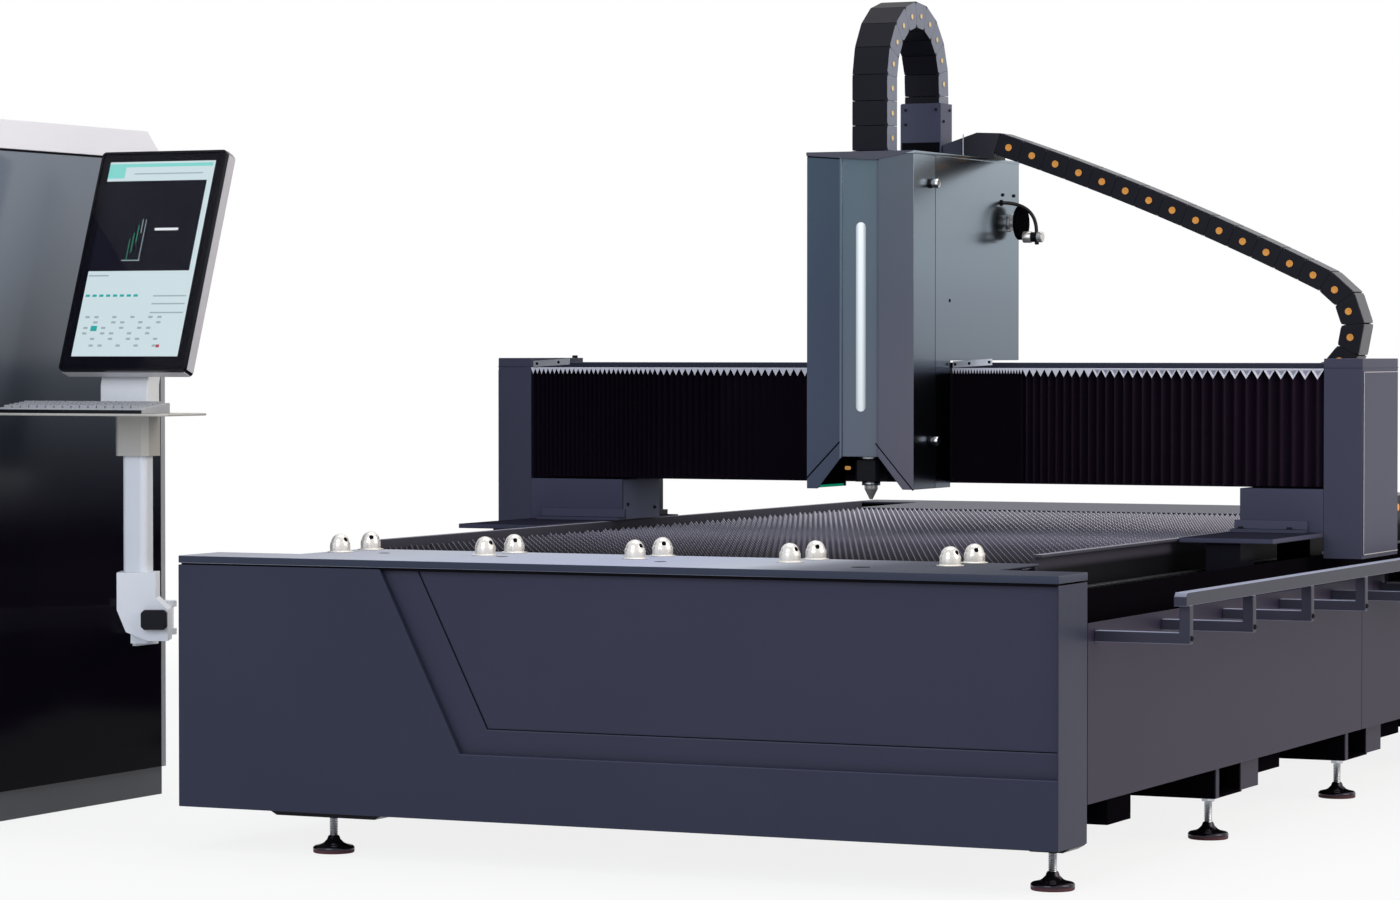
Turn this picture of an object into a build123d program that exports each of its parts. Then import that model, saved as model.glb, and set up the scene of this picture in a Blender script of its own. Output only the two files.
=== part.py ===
from build123d import *
import math
import os

# Open-bed laser cutting machine for sheet metal, millimetres, +Z up.
# It is drawn with X across the bed (0 on its centre line), Y along the bed (0 at its front
# face) and Z above the floor. Every solid is then moved so that the origin is the middle of
# the whole installation's footprint, on the floor.

# Clearances and sheet
SHEET = 3
TUBE_WALL = 8
JOINT_GAP = 3
FIT_GAP = 0.3
RUN_CLEAR = 0.05

# Small round pieces that repeat are drawn with this many sides
REPEAT_SIDES = 16

# Bed and its covers
BED_WIDTH = 2250
BED_LENGTH = 4300
BED_TOP = 705
SKIRT_BOTTOM = 101
END_DEPTH = 183
PLATE_DEPTH = 490
PLATE_EDGE = 18
PLATE_SKIN = 6
PANEL_GAP = 4
DECK_REACH = 15
PLATE_HOLES = ((-732, 309), (-390, 273), (60, 210))
PLATE_HOLE_R = 14
PORT_HOLE = (582, 173)
PORT_HOLE_R = 22
SIDE_BOTTOM = 187
SIDE_OVER_BEAM = 5
SIDE_SEAM_Y = 2305

# Front panel: the proud skin runs left of a slanted edge and below a level one
SLANT_TOP_X = -572
SLANT_LOW_X = -358
BELT_Z = 257
BAND_X = 92
BAND_Z = 58
FRONT_RECESS = 18
INSET_DEPTH = 6
FIELD_DEPTH = 2
REVEAL = 4

# Ball transfer units on the loading plate
BALL_PITCH = 400
BALL_SHIFT = -50
BALL_ROWS = (300, 450)
BALL_R = 22
BALL_CENTRE = 24
BALL_BAND = 42
CUP_R = 25
CUP_TOP = 26
CUP_FLANGE_R = 32
CUP_FLANGE = 4

# Welded frame
BEAM_INSET = 223
BEAM_DROP = 119
BEAM_DEPTH = 256
SILL_BOTTOM = 108
SILL_TOP = 258
SILL_Y = (30, 180)
CORNER_POST = 100
INNER_POST_INSET = 300
TIE_HEIGHT = 100
TIE_DEPTH = 100
CROSS_DEPTH = 200
CROSS_END = 22
STUB_Y = (325, 480)
STUB_X = 62
STUB_BOTTOM = 128

# Levelling feet
PAD_R = 50
PAD_RIM = 13
PAD_HEIGHT = 32
PAD_TOP_R = 18
STEM_R = 10
FOOT_INSET = 75
FOOT_ROW_FIRST = 1250
FOOT_ROW_PITCH = 1080
FOOT_ROW_CLEAR = 500
FRONT_RIGHT_FOOT = (65, 140)
FRONT_LEFT_FOOT = (-745, 85)
REAR_FOOT_INSET = 120

# Guides along the bed
RAIL_INSET = 115
RAIL_WIDTH = 34
RAIL_HEIGHT = 28
RACK_INSET = 200
RACK_WIDTH = 30
RACK_HEIGHT = 60
GUARD_INSET = 29
GUARD_HEIGHT = 78
GUARD_FOOT = 24

# Slat table
TABLE_INSET = 245
TABLE_RISE = 20
TABLE_FLANGE = 30
TABLE_LIP = 18
TABLE_WALL = 6
TABLE_GAP = 10
TABLE_TAIL = 700
LEDGE_DROP = 105
COMB_INSET = 30
COMB_DROP = 15
SLAT_INSET = 12
SLAT_THICK = 4
SLAT_RISE = 3
SLAT_PITCH = 110
SLAT_END = 60
TOOTH_PITCH = 175
TOOTH_DEPTH = 30
SLOT_CLEAR = 0.5
TRAY_INSET = 80
TRAY_DEPTH = 95

# Chain shelf on the right-hand side
SHELF_REACH = 223
SHELF_TUBE = 25
SHELF_ARM_DROP = 132
SHELF_RAIL = 30
SHELF_RAIL_DROP = 42
SHELF_FIRST_Y = 240
SHELF_PITCH = 450
SHELF_RAIL_START = 205
SHELF_RAIL_TAIL = 310

# Gantry, in its photographed place along the bed
GANTRY_FRONT = 1881
COLUMN_GAP = 22
COLUMN_WIDTH = 103
COLUMN_DEPTH = 324
COLUMN_DROP = 43
COLUMN_RISE = 471
GANTRY_BEAM_SET = 104
GANTRY_BEAM_DEPTH = 200
GANTRY_BEAM_LIFT = 135
GANTRY_BEAM_HEIGHT = 324
SADDLE_INSET = 222
SADDLE_AHEAD = 425
SADDLE_BEHIND = 444
SADDLE_LIFT = 11
SADDLE_PLATE = 12
SADDLE_BOX_INSET = 202
SADDLE_BOX_LEFT_EXTRA = 60
SADDLE_BOX_DEPTH = 237
TOE_OUT = 12
TOE_SHORT = 40
TOE_REACH = 46
TOE_HEIGHT = 30
TOE_THICK = 8
BLOCK_PLACES = (-345, 239)
BLOCK_LENGTH = 110
BLOCK_WIDTH = 90
BLOCK_HEIGHT = 45
BLOCK_LIFT = 8
GUIDE_CLEAR = 0.3
PINION_R = 32
PINION_BEHIND = 381
PINION_HEIGHT = 28
SHAFT_R = 12
SHAFT_HOLE_CLEAR = 3
SHAFT_ENGAGE = 30
MOTOR_FLANGE = 110
MOTOR_FLANGE_THICK = 14
MOTOR_SIDE = 96
MOTOR_HEIGHT = 230
MOTOR_CAP = 52
MOTOR_CAP_SIDE = 82
MOTOR_CHAMFER = 9
X_RAIL_RISE = (60, 250)
X_RAIL_WIDTH = 24
X_RAIL_DEPTH = 25
X_RAIL_SHORT = 65
X_RACK_RISE = 144
X_RACK_HEIGHT = 24
BELLOWS_RISE = (6, 310)
FOLD_DEPTH = 30
FOLD_WALL = 4
LEFT_FOLDS = 44
RIGHT_FOLDS = 36

# Cutting head carriage, placed from the gantry's front
HEAD_X = -34
CASING_WIDTH = 305
CASING_AHEAD = 268
CASING_SEAM_AHEAD = 116
CASING_LOW_AHEAD = 9
CASING_BEHIND = 498
CASING_LIFT = 127
CASING_STEP_RISE = 6
CASING_RISE = 1015
LID = 8
LID_OVERHANG = 1
STRIP_WIDTH = 104
STRIP_RECESS = 6
NOTCH_WIDTH = 242
NOTCH_HEIGHT = 85
LIGHT_WIDTH = 28
LIGHT_RISE = (204, 702)
LENS_PROUD = 1
CARRIAGE_BEHIND = 41
CARRIAGE_THICK = 20
CARRIAGE_TRIM = (20, 29)
BACKPLATE_AHEAD = 41
BACKPLATE_THICK = 12
BACKPLATE_WIDTH = 152
BACKPLATE_BELOW_LID = 70
SPACER_RISE = (30, 280)
X_BLOCK_LENGTH = 90
X_BLOCK_HEIGHT = 60
X_PINION_R = 25
Z_RAIL_OFFSET = 56
Z_RAIL_WIDTH = 20
Z_RAIL_DEPTH = 18
Z_RAIL_RISE = 513
Z_BLOCK_WIDTH = 38
Z_BLOCK_LENGTH = 70
Z_BLOCK_GAP = 4
Z_PLATE_AHEAD = 86
Z_PLATE_THICK = 17
Z_PLATE_RISE = (128, 468)
SCREW_R = 10
SCREW_RISE = (40, 648)
NUT_WIDTH = 44
NUT_LENGTH = 50
HANGER_THICK = 8
LIFT_MOTOR_SIDE = 90
LIFT_MOTOR_DEPTH = 82
CROSS_MOTOR_SIDE = 100
CROSS_MOTOR_RISE = (20, 130)
CROSS_MOTOR_SHORT = 60
HEAD_AHEAD = 191
NOZZLE_CLEAR = 95
NOZZLE_LENGTH = 47
NOZZLE_R = 18
NOZZLE_TIP_R = 4
NOZZLE_BORE_R = 1.5
NOZZLE_CONE = 28
SENSOR_SIDE = 70
SENSOR_HEIGHT = 58
COLLAR_R = 32
COLLAR_HEIGHT = 77
OPTICS_SIDE = 80
OPTICS_BELOW_PLATE = 20
OPTICS_NECK = 60
VALVE_BEHIND = 429
VALVE_BELOW_LID = 172
VALVE_SIZE = (26, 32, 44)
VALVE_DISC_R = 46
VALVE_DISC_DEPTH = 14
OUTLET_R = 13
OUTLET_LENGTH = 54
OUTLET_DROP = 39
HOSE_R = 5
HOSE_SIDES = 6
HOSE_RISE = 54
HOSE_AHEAD = 65
HOSE_REACH = 78
HOSE_BEND = 70

# Drag chains
CHAIN_HEIGHT = 60
CHAIN_NOTCH = 3
LINK_PITCH = 75
Z_CHAIN_WIDTH = 102
Z_CHAIN_OFFSET = -71
Z_CHAIN_HEIGHT = 68
Z_CHAIN_AHEAD = 1
Z_CHAIN_R = 184.5
Z_CHAIN_FOOT_RISE = 568
Z_CHAIN_ARCH_RISE = 203
Z_CHAIN_END_RISE = 45
Z_BRACKET_HEIGHT = 158
Z_BRACKET_WALL = 7
MOUTH_GAP = 4
X_CHAIN_WIDTH = 90
X_CHAIN_BEHIND = 7
X_CHAIN_RISE = 43
X_CHAIN_BACK = 0.5
X_CHAIN_DIP = 18.5
X_CHAIN_RUN = 1005
X_CHAIN_SAG_R = 7500
X_CHAIN_R = 139
X_CHAIN_REST = 850
X_BRACKET_LOW = 42
X_BRACKET_TOP = 60
Y_CHAIN_WIDTH = 80
Y_CHAIN_GAP = 35
Y_CHAIN_R = 90
Y_CHAIN_RUN = 950
Y_CHAIN_REST = 760

# Control cabinet
AISLE = 714
CABINET_DEPTH = 600
CABINET_Y = (-125, 1074)
CABINET_TOP = 1709
CABINET_WALL = 4
CAP_HEIGHT = 77
CAP_SLOPE = 32
PLINTH = 76
PLINTH_INSET = 6
PLINTH_WALL = 40
PANEL_EDGE = 22
DOOR_THICK = 20
DOOR_SHEET = 2
DOOR_GAP = 4
GRIP = 18
GRIP_WIDTH = 20
GRIP_LENGTH = 160
GRIP_INSET = 40
HINGE_LINE = 8
HINGE_R = 7
HINGE_EYE_WIDTH = 5
HINGE_NOSE = 3
HINGE_EDGE = 6
HINGE_BARREL = 60
HINGE_EYE = 15
HINGE_FROM_END = 220
SOURCE_HEIGHT = 260
SOURCE_LENGTH = 500
SOURCE_INSET = (40, 60)
UNIT_INSET = 60
CONTROL_PLATE = 5
CONTROL_PLATE_RISE = 340
CONTROL_PLATE_DROP = 120
DRIVE_SIZE = (90, 90, 260)
DRIVE_RISE = 700
DRIVE_PITCH = 240
DRIVE_FIRST = 120
DRIVE_COUNT = 4

# Operator's arm, keyboard shelf and screen
PIVOT_OUT = 71
PIVOT_FROM_END = 109
PIVOT_R = 20
PIVOT_BOSS = 8
BRACKET_Z = (440, 530)
BRACKET_CHEEK = 16
BRACKET_PLATE = 12
BRACKET_PLATE_WIDTH = 110
BRACKET_PLATE_OVER = 30
POST_OUT = 339
POST_FROM_END = 664
POST_WIDTH = 70
POST_DEPTH = 50
POST_CORNER = 16
POST_WALL = 4
POST_Z = (638, 931)
POST_CAP = 14
SPIGOT_R = 20
LINK_HEIGHT = 56
LINK_WIDTH = 40
ELBOW_BOTTOM = 466
ELBOW_CURVE = 78
ELBOW_LUG = 30
ELBOW_LUG_HEIGHT = 78
ELBOW_MARGIN = 14
CLAMP_SIZE = (18, 66, 50)
CLAMP_RISE = 54
CLAMP_CORNER = 8
SWIVEL_WIDTH = 98
SWIVEL_DEPTH = 80
SWIVEL_CORNER = 14
SWIVEL_TOP = 1034
SHELF_PLATE = 6
SHELF_X = (-320, 200)
SHELF_Y = (-200, 22)
SHELF_CORNER = 18
KEYBOARD_X = (-300, 130)
KEYBOARD_Y = (-185, -55)
KEYBOARD_HEIGHT = (12, 26)
NECK_WIDTH = 140
NECK_DEPTH = 56
NECK_SET = 18
NECK_SHIFT = -30
NECK_KNEE = 70
NECK_FORK = 80
FORK_REACH = 26
MONITOR_WIDTH = 372
MONITOR_HEIGHT = 597
MONITOR_DEPTH = 44
MONITOR_CORNER = 12
MONITOR_RIM = 6
MONITOR_AHEAD = 80
MONITOR_LOW_Z = 1146
MONITOR_TILT = 20.6
GLASS_POCKET = 4
GLASS_THICK = 3.3
TILT_PIN_R = 10
TILT_PIN_UP = 270
TILT_PIN_OUT = 16
TILT_EYE_WALL = 4

# Lines that several pieces share
HALF = BED_WIDTH / 2
PLATE_UNDER = BED_TOP - PLATE_SKIN
BEAM_TOP = BED_TOP - BEAM_DROP
BEAM_BOTTOM = BEAM_TOP - BEAM_DEPTH
TIE_TOP = BEAM_BOTTOM + TIE_HEIGHT
BEAM_INNER_X = HALF - BEAM_INSET
RAIL_X = HALF - RAIL_INSET
RACK_X = (HALF - RACK_INSET, HALF - RACK_INSET + RACK_WIDTH)
RACK_TOP = BEAM_TOP + RACK_HEIGHT
TABLE_X = HALF - TABLE_INSET
TABLE_Y = (PLATE_DEPTH + TABLE_GAP, BED_LENGTH - TABLE_TAIL)
DECK_X = TABLE_X + DECK_REACH
LEDGE_Z = BED_TOP - LEDGE_DROP
SLAT_FOOT = LEDGE_Z + TABLE_WALL
SLAT_TIP = BED_TOP + SLAT_RISE
SHELF_OUT = HALF + SHELF_REACH
SHELF_ARM_TOP = BED_TOP - SHELF_ARM_DROP
COLUMN_X = (HALF + COLUMN_GAP, HALF + COLUMN_GAP + COLUMN_WIDTH)
COLUMN_REAR = GANTRY_FRONT + COLUMN_DEPTH
GANTRY_BEAM_Y = (GANTRY_FRONT + GANTRY_BEAM_SET, GANTRY_FRONT + GANTRY_BEAM_SET + GANTRY_BEAM_DEPTH)
GANTRY_BEAM_Z = (BED_TOP + GANTRY_BEAM_LIFT, BED_TOP + GANTRY_BEAM_LIFT + GANTRY_BEAM_HEIGHT)
SADDLE_Z = (BED_TOP + SADDLE_LIFT, BED_TOP + SADDLE_LIFT + SADDLE_PLATE)
BLOCK_TOP = BEAM_TOP + BLOCK_HEIGHT
PINION_X = RACK_X[1] + GUIDE_CLEAR + PINION_R
PINION_Y = GANTRY_FRONT + PINION_BEHIND
X_RACK_TOP = GANTRY_BEAM_Z[0] + X_RACK_RISE + X_RACK_HEIGHT
X_PINION_Z = X_RACK_TOP + GUIDE_CLEAR + X_PINION_R
BELLOWS_Z = (GANTRY_BEAM_Z[0] + BELLOWS_RISE[0], GANTRY_BEAM_Z[0] + BELLOWS_RISE[1])
CASING_X = (HEAD_X - CASING_WIDTH / 2, HEAD_X + CASING_WIDTH / 2)
CASING_FRONT = GANTRY_FRONT - CASING_AHEAD
CASING_SEAM = GANTRY_FRONT - CASING_SEAM_AHEAD
CASING_LOW_REAR = GANTRY_FRONT - CASING_LOW_AHEAD
CASING_REAR = GANTRY_FRONT + CASING_BEHIND
CASING_BOTTOM = BED_TOP + CASING_LIFT
CASING_STEP = GANTRY_BEAM_Z[1] + CASING_STEP_RISE
CASING_TOP = BED_TOP + CASING_RISE
CARRIAGE_Y = (GANTRY_FRONT + CARRIAGE_BEHIND, GANTRY_FRONT + CARRIAGE_BEHIND + CARRIAGE_THICK)
CARRIAGE_Z = (GANTRY_BEAM_Z[0] + CARRIAGE_TRIM[0], GANTRY_BEAM_Z[1] - CARRIAGE_TRIM[1])
BACKPLATE_Y = (GANTRY_FRONT - BACKPLATE_AHEAD, GANTRY_FRONT - BACKPLATE_AHEAD + BACKPLATE_THICK)
BACKPLATE_X = (HEAD_X - BACKPLATE_WIDTH / 2, HEAD_X + BACKPLATE_WIDTH / 2)
Z_RAIL_TOP = CASING_BOTTOM + Z_RAIL_RISE
Z_PLATE_Y = (GANTRY_FRONT - Z_PLATE_AHEAD, GANTRY_FRONT - Z_PLATE_AHEAD + Z_PLATE_THICK)
Z_PLATE_Z = (CASING_BOTTOM + Z_PLATE_RISE[0], CASING_BOTTOM + Z_PLATE_RISE[1])
SCREW_Y = (Z_PLATE_Y[1] + BACKPLATE_Y[0]) / 2
SCREW_Z = (CASING_BOTTOM + SCREW_RISE[0], CASING_BOTTOM + SCREW_RISE[1])
HEAD_Y = GANTRY_FRONT - HEAD_AHEAD
NOZZLE_Z = (SLAT_TIP + NOZZLE_CLEAR, SLAT_TIP + NOZZLE_CLEAR + NOZZLE_LENGTH)
Z_CHAIN_X = (HEAD_X + Z_CHAIN_OFFSET - Z_CHAIN_WIDTH / 2, HEAD_X + Z_CHAIN_OFFSET + Z_CHAIN_WIDTH / 2)
Z_CHAIN_LEG_Y = GANTRY_FRONT - Z_CHAIN_AHEAD
Z_CHAIN_REAR_Y = Z_CHAIN_LEG_Y + 2 * Z_CHAIN_R
Z_CHAIN_FOOT = CASING_BOTTOM + Z_CHAIN_FOOT_RISE
X_CHAIN_NEAR = max(COLUMN_REAR, GANTRY_BEAM_Y[1]) + X_CHAIN_BEHIND
X_CHAIN_Y = (X_CHAIN_NEAR, X_CHAIN_NEAR + X_CHAIN_WIDTH)
X_CHAIN_START = (CASING_X[1] - X_CHAIN_BACK, CASING_TOP + X_CHAIN_RISE)
Y_CHAIN_X = (HALF + Y_CHAIN_GAP, HALF + Y_CHAIN_GAP + Y_CHAIN_WIDTH)
FACE_X = -HALF - AISLE
CABINET_BACK = FACE_X - CABINET_DEPTH
CABINET_FLOOR = PLINTH + CABINET_WALL
HINGE_X = CABINET_BACK - FIT_GAP - DOOR_THICK / 2
PIVOT = (FACE_X + PIVOT_OUT, CABINET_Y[1] - PIVOT_FROM_END)
POST = (FACE_X + POST_OUT, CABINET_Y[1] - POST_FROM_END)
SHELF_TOP = SWIVEL_TOP + SHELF_PLATE


def block(x, y, z):
    """A box between two values on each axis."""
    middle = [(low + high) / 2 for low, high in (x, y, z)]
    size = [high - low for low, high in (x, y, z)]
    return Pos(*middle) * Box(*size)


def along_x(outline, x):
    """Extrude a (Y, Z) outline between two X values."""
    face = Plane.YZ.offset(x[0]) * Polygon(*outline, align=None)
    return extrude(face, x[1] - x[0], dir=(1, 0, 0))


def along_y(outline, y):
    """Extrude an (X, Z) outline between two Y values."""
    plane = Plane(origin=(0, y[1], 0), x_dir=(1, 0, 0), z_dir=(0, -1, 0))
    return extrude(plane * Polygon(*outline, align=None), y[1] - y[0], dir=(0, -1, 0))


def along_z(outline, z):
    """Extrude an (X, Y) outline between two Z values."""
    face = Pos(0, 0, z[0]) * Polygon(*outline, align=None)
    return extrude(face, z[1] - z[0], dir=(0, 0, 1))


def post(radius, x, y, z):
    """A round bar along Z between two heights."""
    return Pos(x, y, (z[0] + z[1]) / 2) * Cylinder(radius, z[1] - z[0])


def pin_x(radius, x, y, z):
    """A round bar along X between two X values."""
    return Pos((x[0] + x[1]) / 2, y, z) * Rot(0, 90, 0) * Cylinder(radius, x[1] - x[0])


def pin_y(radius, x, y, z):
    """A round bar along Y between two Y values."""
    return Pos(x, (y[0] + y[1]) / 2, z) * Rot(90, 0, 0) * Cylinder(radius, y[1] - y[0])


def tube(x, y, z, axis, wall):
    """A rectangular hollow section, open at both ends along one axis."""
    inner = []
    for name, span in zip("xyz", (x, y, z)):
        inner.append(span if name == axis else shrink(span, wall))
    return block(x, y, z) - block(*inner)


def turned(*outline):
    """Revolve an (R, Z) outline about the Z axis."""
    return revolve(Plane.XZ * Polygon(*outline, align=None), Axis.Z)


def faceted(radius, z):
    """A small repeated round bar on the Z axis, with few sides."""
    return Pos(0, 0, z[0]) * extrude(RegularPolygon(radius, REPEAT_SIDES), z[1] - z[0])


def shrink(span, wall):
    """A span with a wall taken off each end."""
    return (span[0] + wall, span[1] - wall)


def around(middle, width):
    """The two ends of a width centred on a value."""
    return (middle - width / 2, middle + width / 2)


def both(solid):
    """A right-hand piece and its mirror image on the left."""
    return [solid, mirror(solid, about=Plane.YZ)]


# Bed


def foot_rows():
    """Y places of the cross beams that stand on feet between the two end sills."""
    last = BED_LENGTH - FOOT_ROW_CLEAR
    count = int((last - FOOT_ROW_FIRST) // FOOT_ROW_PITCH) + 1
    return [FOOT_ROW_FIRST + i * FOOT_ROW_PITCH for i in range(count)]


def tie_lines():
    """Y places of the ties that carry the slat table: at its ends and over the cross beams."""
    first = TABLE_Y[0] + TIE_DEPTH / 2
    last = TABLE_Y[1] - TIE_DEPTH / 2
    inner = [y for y in foot_rows() if first + TIE_DEPTH < y < last - TIE_DEPTH]
    return [first, *inner, last]


def bed_frame():
    """Members of the welded frame: side beams, sills, posts, cross beams, ties and stub legs."""
    outer = HALF - SHEET
    rear_sill = (BED_LENGTH - SILL_Y[1], BED_LENGTH - SILL_Y[0])
    beam_y = (SILL_Y[1] + JOINT_GAP, rear_sill[0] - JOINT_GAP)
    members = both(tube((BEAM_INNER_X, outer), beam_y, (BEAM_BOTTOM, BEAM_TOP), "y", TUBE_WALL))
    for sill_y in (SILL_Y, rear_sill):
        members.append(tube((-outer, outer), sill_y, (SILL_BOTTOM, SILL_TOP), "x", TUBE_WALL))
        post_y = around(sum(sill_y) / 2, CORNER_POST)
        for x in (outer - CORNER_POST, BEAM_INNER_X - INNER_POST_INSET):
            members += both(tube((x, x + CORNER_POST), post_y, (SILL_TOP, PLATE_UNDER), "z", TUBE_WALL))
    cross_x = (-outer + CROSS_END, outer - CROSS_END)
    for y in foot_rows():
        members.append(tube(cross_x, around(y, CROSS_DEPTH), (SILL_BOTTOM, BEAM_BOTTOM), "x", TUBE_WALL))
    tie_x = (-BEAM_INNER_X, BEAM_INNER_X)
    for y in tie_lines():
        members.append(tube(tie_x, around(y, TIE_DEPTH), (BEAM_BOTTOM, TIE_TOP), "x", TUBE_WALL))
    members += both(tube((outer - STUB_X, outer), STUB_Y, (STUB_BOTTOM, BEAM_BOTTOM), "z", TUBE_WALL))
    return members


def panel_outline(shift_x, shift_z, edge):
    """The front panel's slanted corner, moved inwards by a band, up to an edge on the right."""
    top = BED_TOP - PLATE_EDGE - PANEL_GAP
    low_z = BELT_Z + shift_z
    rise = (SLANT_LOW_X - SLANT_TOP_X) / (top - BELT_Z)
    low_x = SLANT_LOW_X + shift_x - rise * shift_z
    top_x = low_x - rise * (top - low_z)
    return [(top_x, top), (low_x, low_z), (edge, low_z), (edge, top)]


def front_cover():
    """U-shaped skin: front face with its cut-away corner turned in, and both end caps."""
    z = (SKIRT_BOTTOM, BED_TOP - PLATE_EDGE - PANEL_GAP)
    shell = block((-HALF, HALF), (0, END_DEPTH), z)
    shell -= block(shrink((-HALF, HALF), SHEET), (SHEET, END_DEPTH), z)
    shell += along_y(panel_outline(-SHEET, -SHEET, HALF - SHEET), (SHEET, FRONT_RECESS))
    return [shell - along_y(panel_outline(0, 0, HALF - SHEET), (0, FRONT_RECESS))]


def front_inset_panel():
    """Panel behind the cut-away, with a second shallow step inside its band."""
    front = FRONT_RECESS
    edge = HALF - SHEET - FIT_GAP
    plate = along_y(panel_outline(-REVEAL, -REVEAL, edge), (front, front + INSET_DEPTH + FIELD_DEPTH))
    return [plate - along_y(panel_outline(BAND_X, BAND_Z, edge), (front, front + FIELD_DEPTH))]


def loading_plate():
    """Top plate with turned-down edges, a deeper middle and access holes."""
    edge = END_DEPTH + JOINT_GAP
    outline = [
        (-HALF, 0), (HALF, 0), (HALF, edge), (DECK_X, edge),
        (DECK_X, PLATE_DEPTH), (-DECK_X, PLATE_DEPTH), (-DECK_X, edge), (-HALF, edge),
    ]
    plate = along_z(outline, (PLATE_UNDER, BED_TOP))
    lip_z = (BED_TOP - PLATE_EDGE, PLATE_UNDER)
    plate += block((-HALF, HALF), (0, SHEET), lip_z)
    for x in ((-HALF, -HALF + SHEET), (HALF - SHEET, HALF)):
        plate += block(x, (SHEET, edge), lip_z)
    for x, y in PLATE_HOLES:
        plate -= post(PLATE_HOLE_R, x, y, (PLATE_UNDER, BED_TOP))
    return [plate - post(PORT_HOLE_R, *PORT_HOLE, (PLATE_UNDER, BED_TOP))]


def ball_places():
    """Centres of the ball transfer units: as many in each row as the plate has room for."""
    reach = int((DECK_X - CUP_FLANGE_R + abs(BALL_SHIFT)) // BALL_PITCH)
    row = [BALL_SHIFT + i * BALL_PITCH for i in range(-reach, reach + 1)]
    row = [x for x in row if abs(x) + CUP_FLANGE_R <= DECK_X]
    return [(x, y) for y in BALL_ROWS for x in row]


def ball_cups():
    """Flanged cups that hold the balls."""
    cup = faceted(CUP_FLANGE_R, (0, CUP_FLANGE)) + faceted(CUP_R, (CUP_FLANGE, CUP_TOP))
    return [Pos(x, y, BED_TOP) * cup for x, y in ball_places()]


def transfer_balls():
    """The part of each steel ball that stands out of its cup."""
    start = math.degrees(math.asin((CUP_TOP - BALL_CENTRE) / BALL_R))
    dome = None
    for low, high in ((start, BALL_BAND), (BALL_BAND, 85)):
        low_r = BALL_R * math.cos(math.radians(low))
        low_z = BALL_R * math.sin(math.radians(low))
        high_r = BALL_R * math.cos(math.radians(high))
        rise = BALL_R * math.sin(math.radians(high)) - low_z
        slope = math.degrees(math.atan2(low_r - high_r, rise))
        band = Pos(0, 0, low_z) * extrude(RegularPolygon(low_r, REPEAT_SIDES), rise, taper=slope)
        dome = band if dome is None else dome + band
    return [Pos(x, y, BED_TOP + BALL_CENTRE) * dome for x, y in ball_places()]


def side_panels():
    """Flat side skins, in two lengths each side."""
    runs = (
        (END_DEPTH + JOINT_GAP, SIDE_SEAM_Y - JOINT_GAP / 2),
        (SIDE_SEAM_Y + JOINT_GAP / 2, BED_LENGTH - END_DEPTH - JOINT_GAP),
    )
    panels = []
    for run in runs:
        panels += both(block((HALF - SHEET, HALF), run, (SIDE_BOTTOM, BEAM_TOP + SIDE_OVER_BEAM)))
    return panels


def rear_cover():
    """Rear skin with end caps, its own top and a deck up to the slats."""
    y = (BED_LENGTH - END_DEPTH, BED_LENGTH)
    shell = block((-HALF, HALF), y, (SKIRT_BOTTOM, BED_TOP))
    shell -= block(shrink((-HALF, HALF), SHEET), (y[0], y[1] - SHEET), (SKIRT_BOTTOM, PLATE_UNDER))
    return [shell + block((-DECK_X, DECK_X), (TABLE_Y[1] + TABLE_GAP, y[0]), (PLATE_UNDER, BED_TOP))]


def foot_places():
    """Floor places of the levelling feet."""
    places = [(HALF - FRONT_RIGHT_FOOT[0], FRONT_RIGHT_FOOT[1]), FRONT_LEFT_FOOT]
    for y in (*foot_rows(), BED_LENGTH - REAR_FOOT_INSET):
        places += [(HALF - FOOT_INSET, y), (FOOT_INSET - HALF, y)]
    return places


def foot_pads():
    """Round pads that slope up to their stems."""
    rise = PAD_HEIGHT - PAD_RIM
    slope = math.degrees(math.atan2(PAD_R - PAD_TOP_R, rise))
    crown = extrude(RegularPolygon(PAD_R, REPEAT_SIDES), rise, taper=slope)
    pad = faceted(PAD_R, (0, PAD_RIM)) + Pos(0, 0, PAD_RIM) * crown
    return [Pos(x, y, 0) * pad for x, y in foot_places()]


def foot_stems():
    """Stems between the pads and the frame."""
    stem = faceted(STEM_R, (PAD_HEIGHT, SILL_BOTTOM))
    return [Pos(x, y, 0) * stem for x, y in foot_places()]


def guide_span():
    """Y ends of the guide rails, racks and guards."""
    return shrink((0, BED_LENGTH), END_DEPTH + 2 * JOINT_GAP)


def y_rails_and_racks():
    """Guide rail and rack on top of each side beam."""
    rail_z = (BEAM_TOP, BEAM_TOP + RAIL_HEIGHT)
    pieces = both(block(around(RAIL_X, RAIL_WIDTH), guide_span(), rail_z))
    return pieces + both(block(RACK_X, guide_span(), (BEAM_TOP, RACK_TOP)))


def guide_guards():
    """Dark angle guards outside the guides."""
    x = HALF - GUARD_INSET
    outline = [
        (x, BEAM_TOP), (x + GUARD_FOOT, BEAM_TOP), (x + GUARD_FOOT, BEAM_TOP + SHEET),
        (x + SHEET, BEAM_TOP + SHEET), (x + SHEET, BEAM_TOP + GUARD_HEIGHT), (x, BEAM_TOP + GUARD_HEIGHT),
    ]
    return both(along_y(outline, guide_span()))


# Slat table


def slat_places():
    """Y places of the slats."""
    first = TABLE_Y[0] + SLAT_END
    count = int((TABLE_Y[1] - SLAT_END - first) // SLAT_PITCH) + 1
    return [first + i * SLAT_PITCH for i in range(count)]


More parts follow.
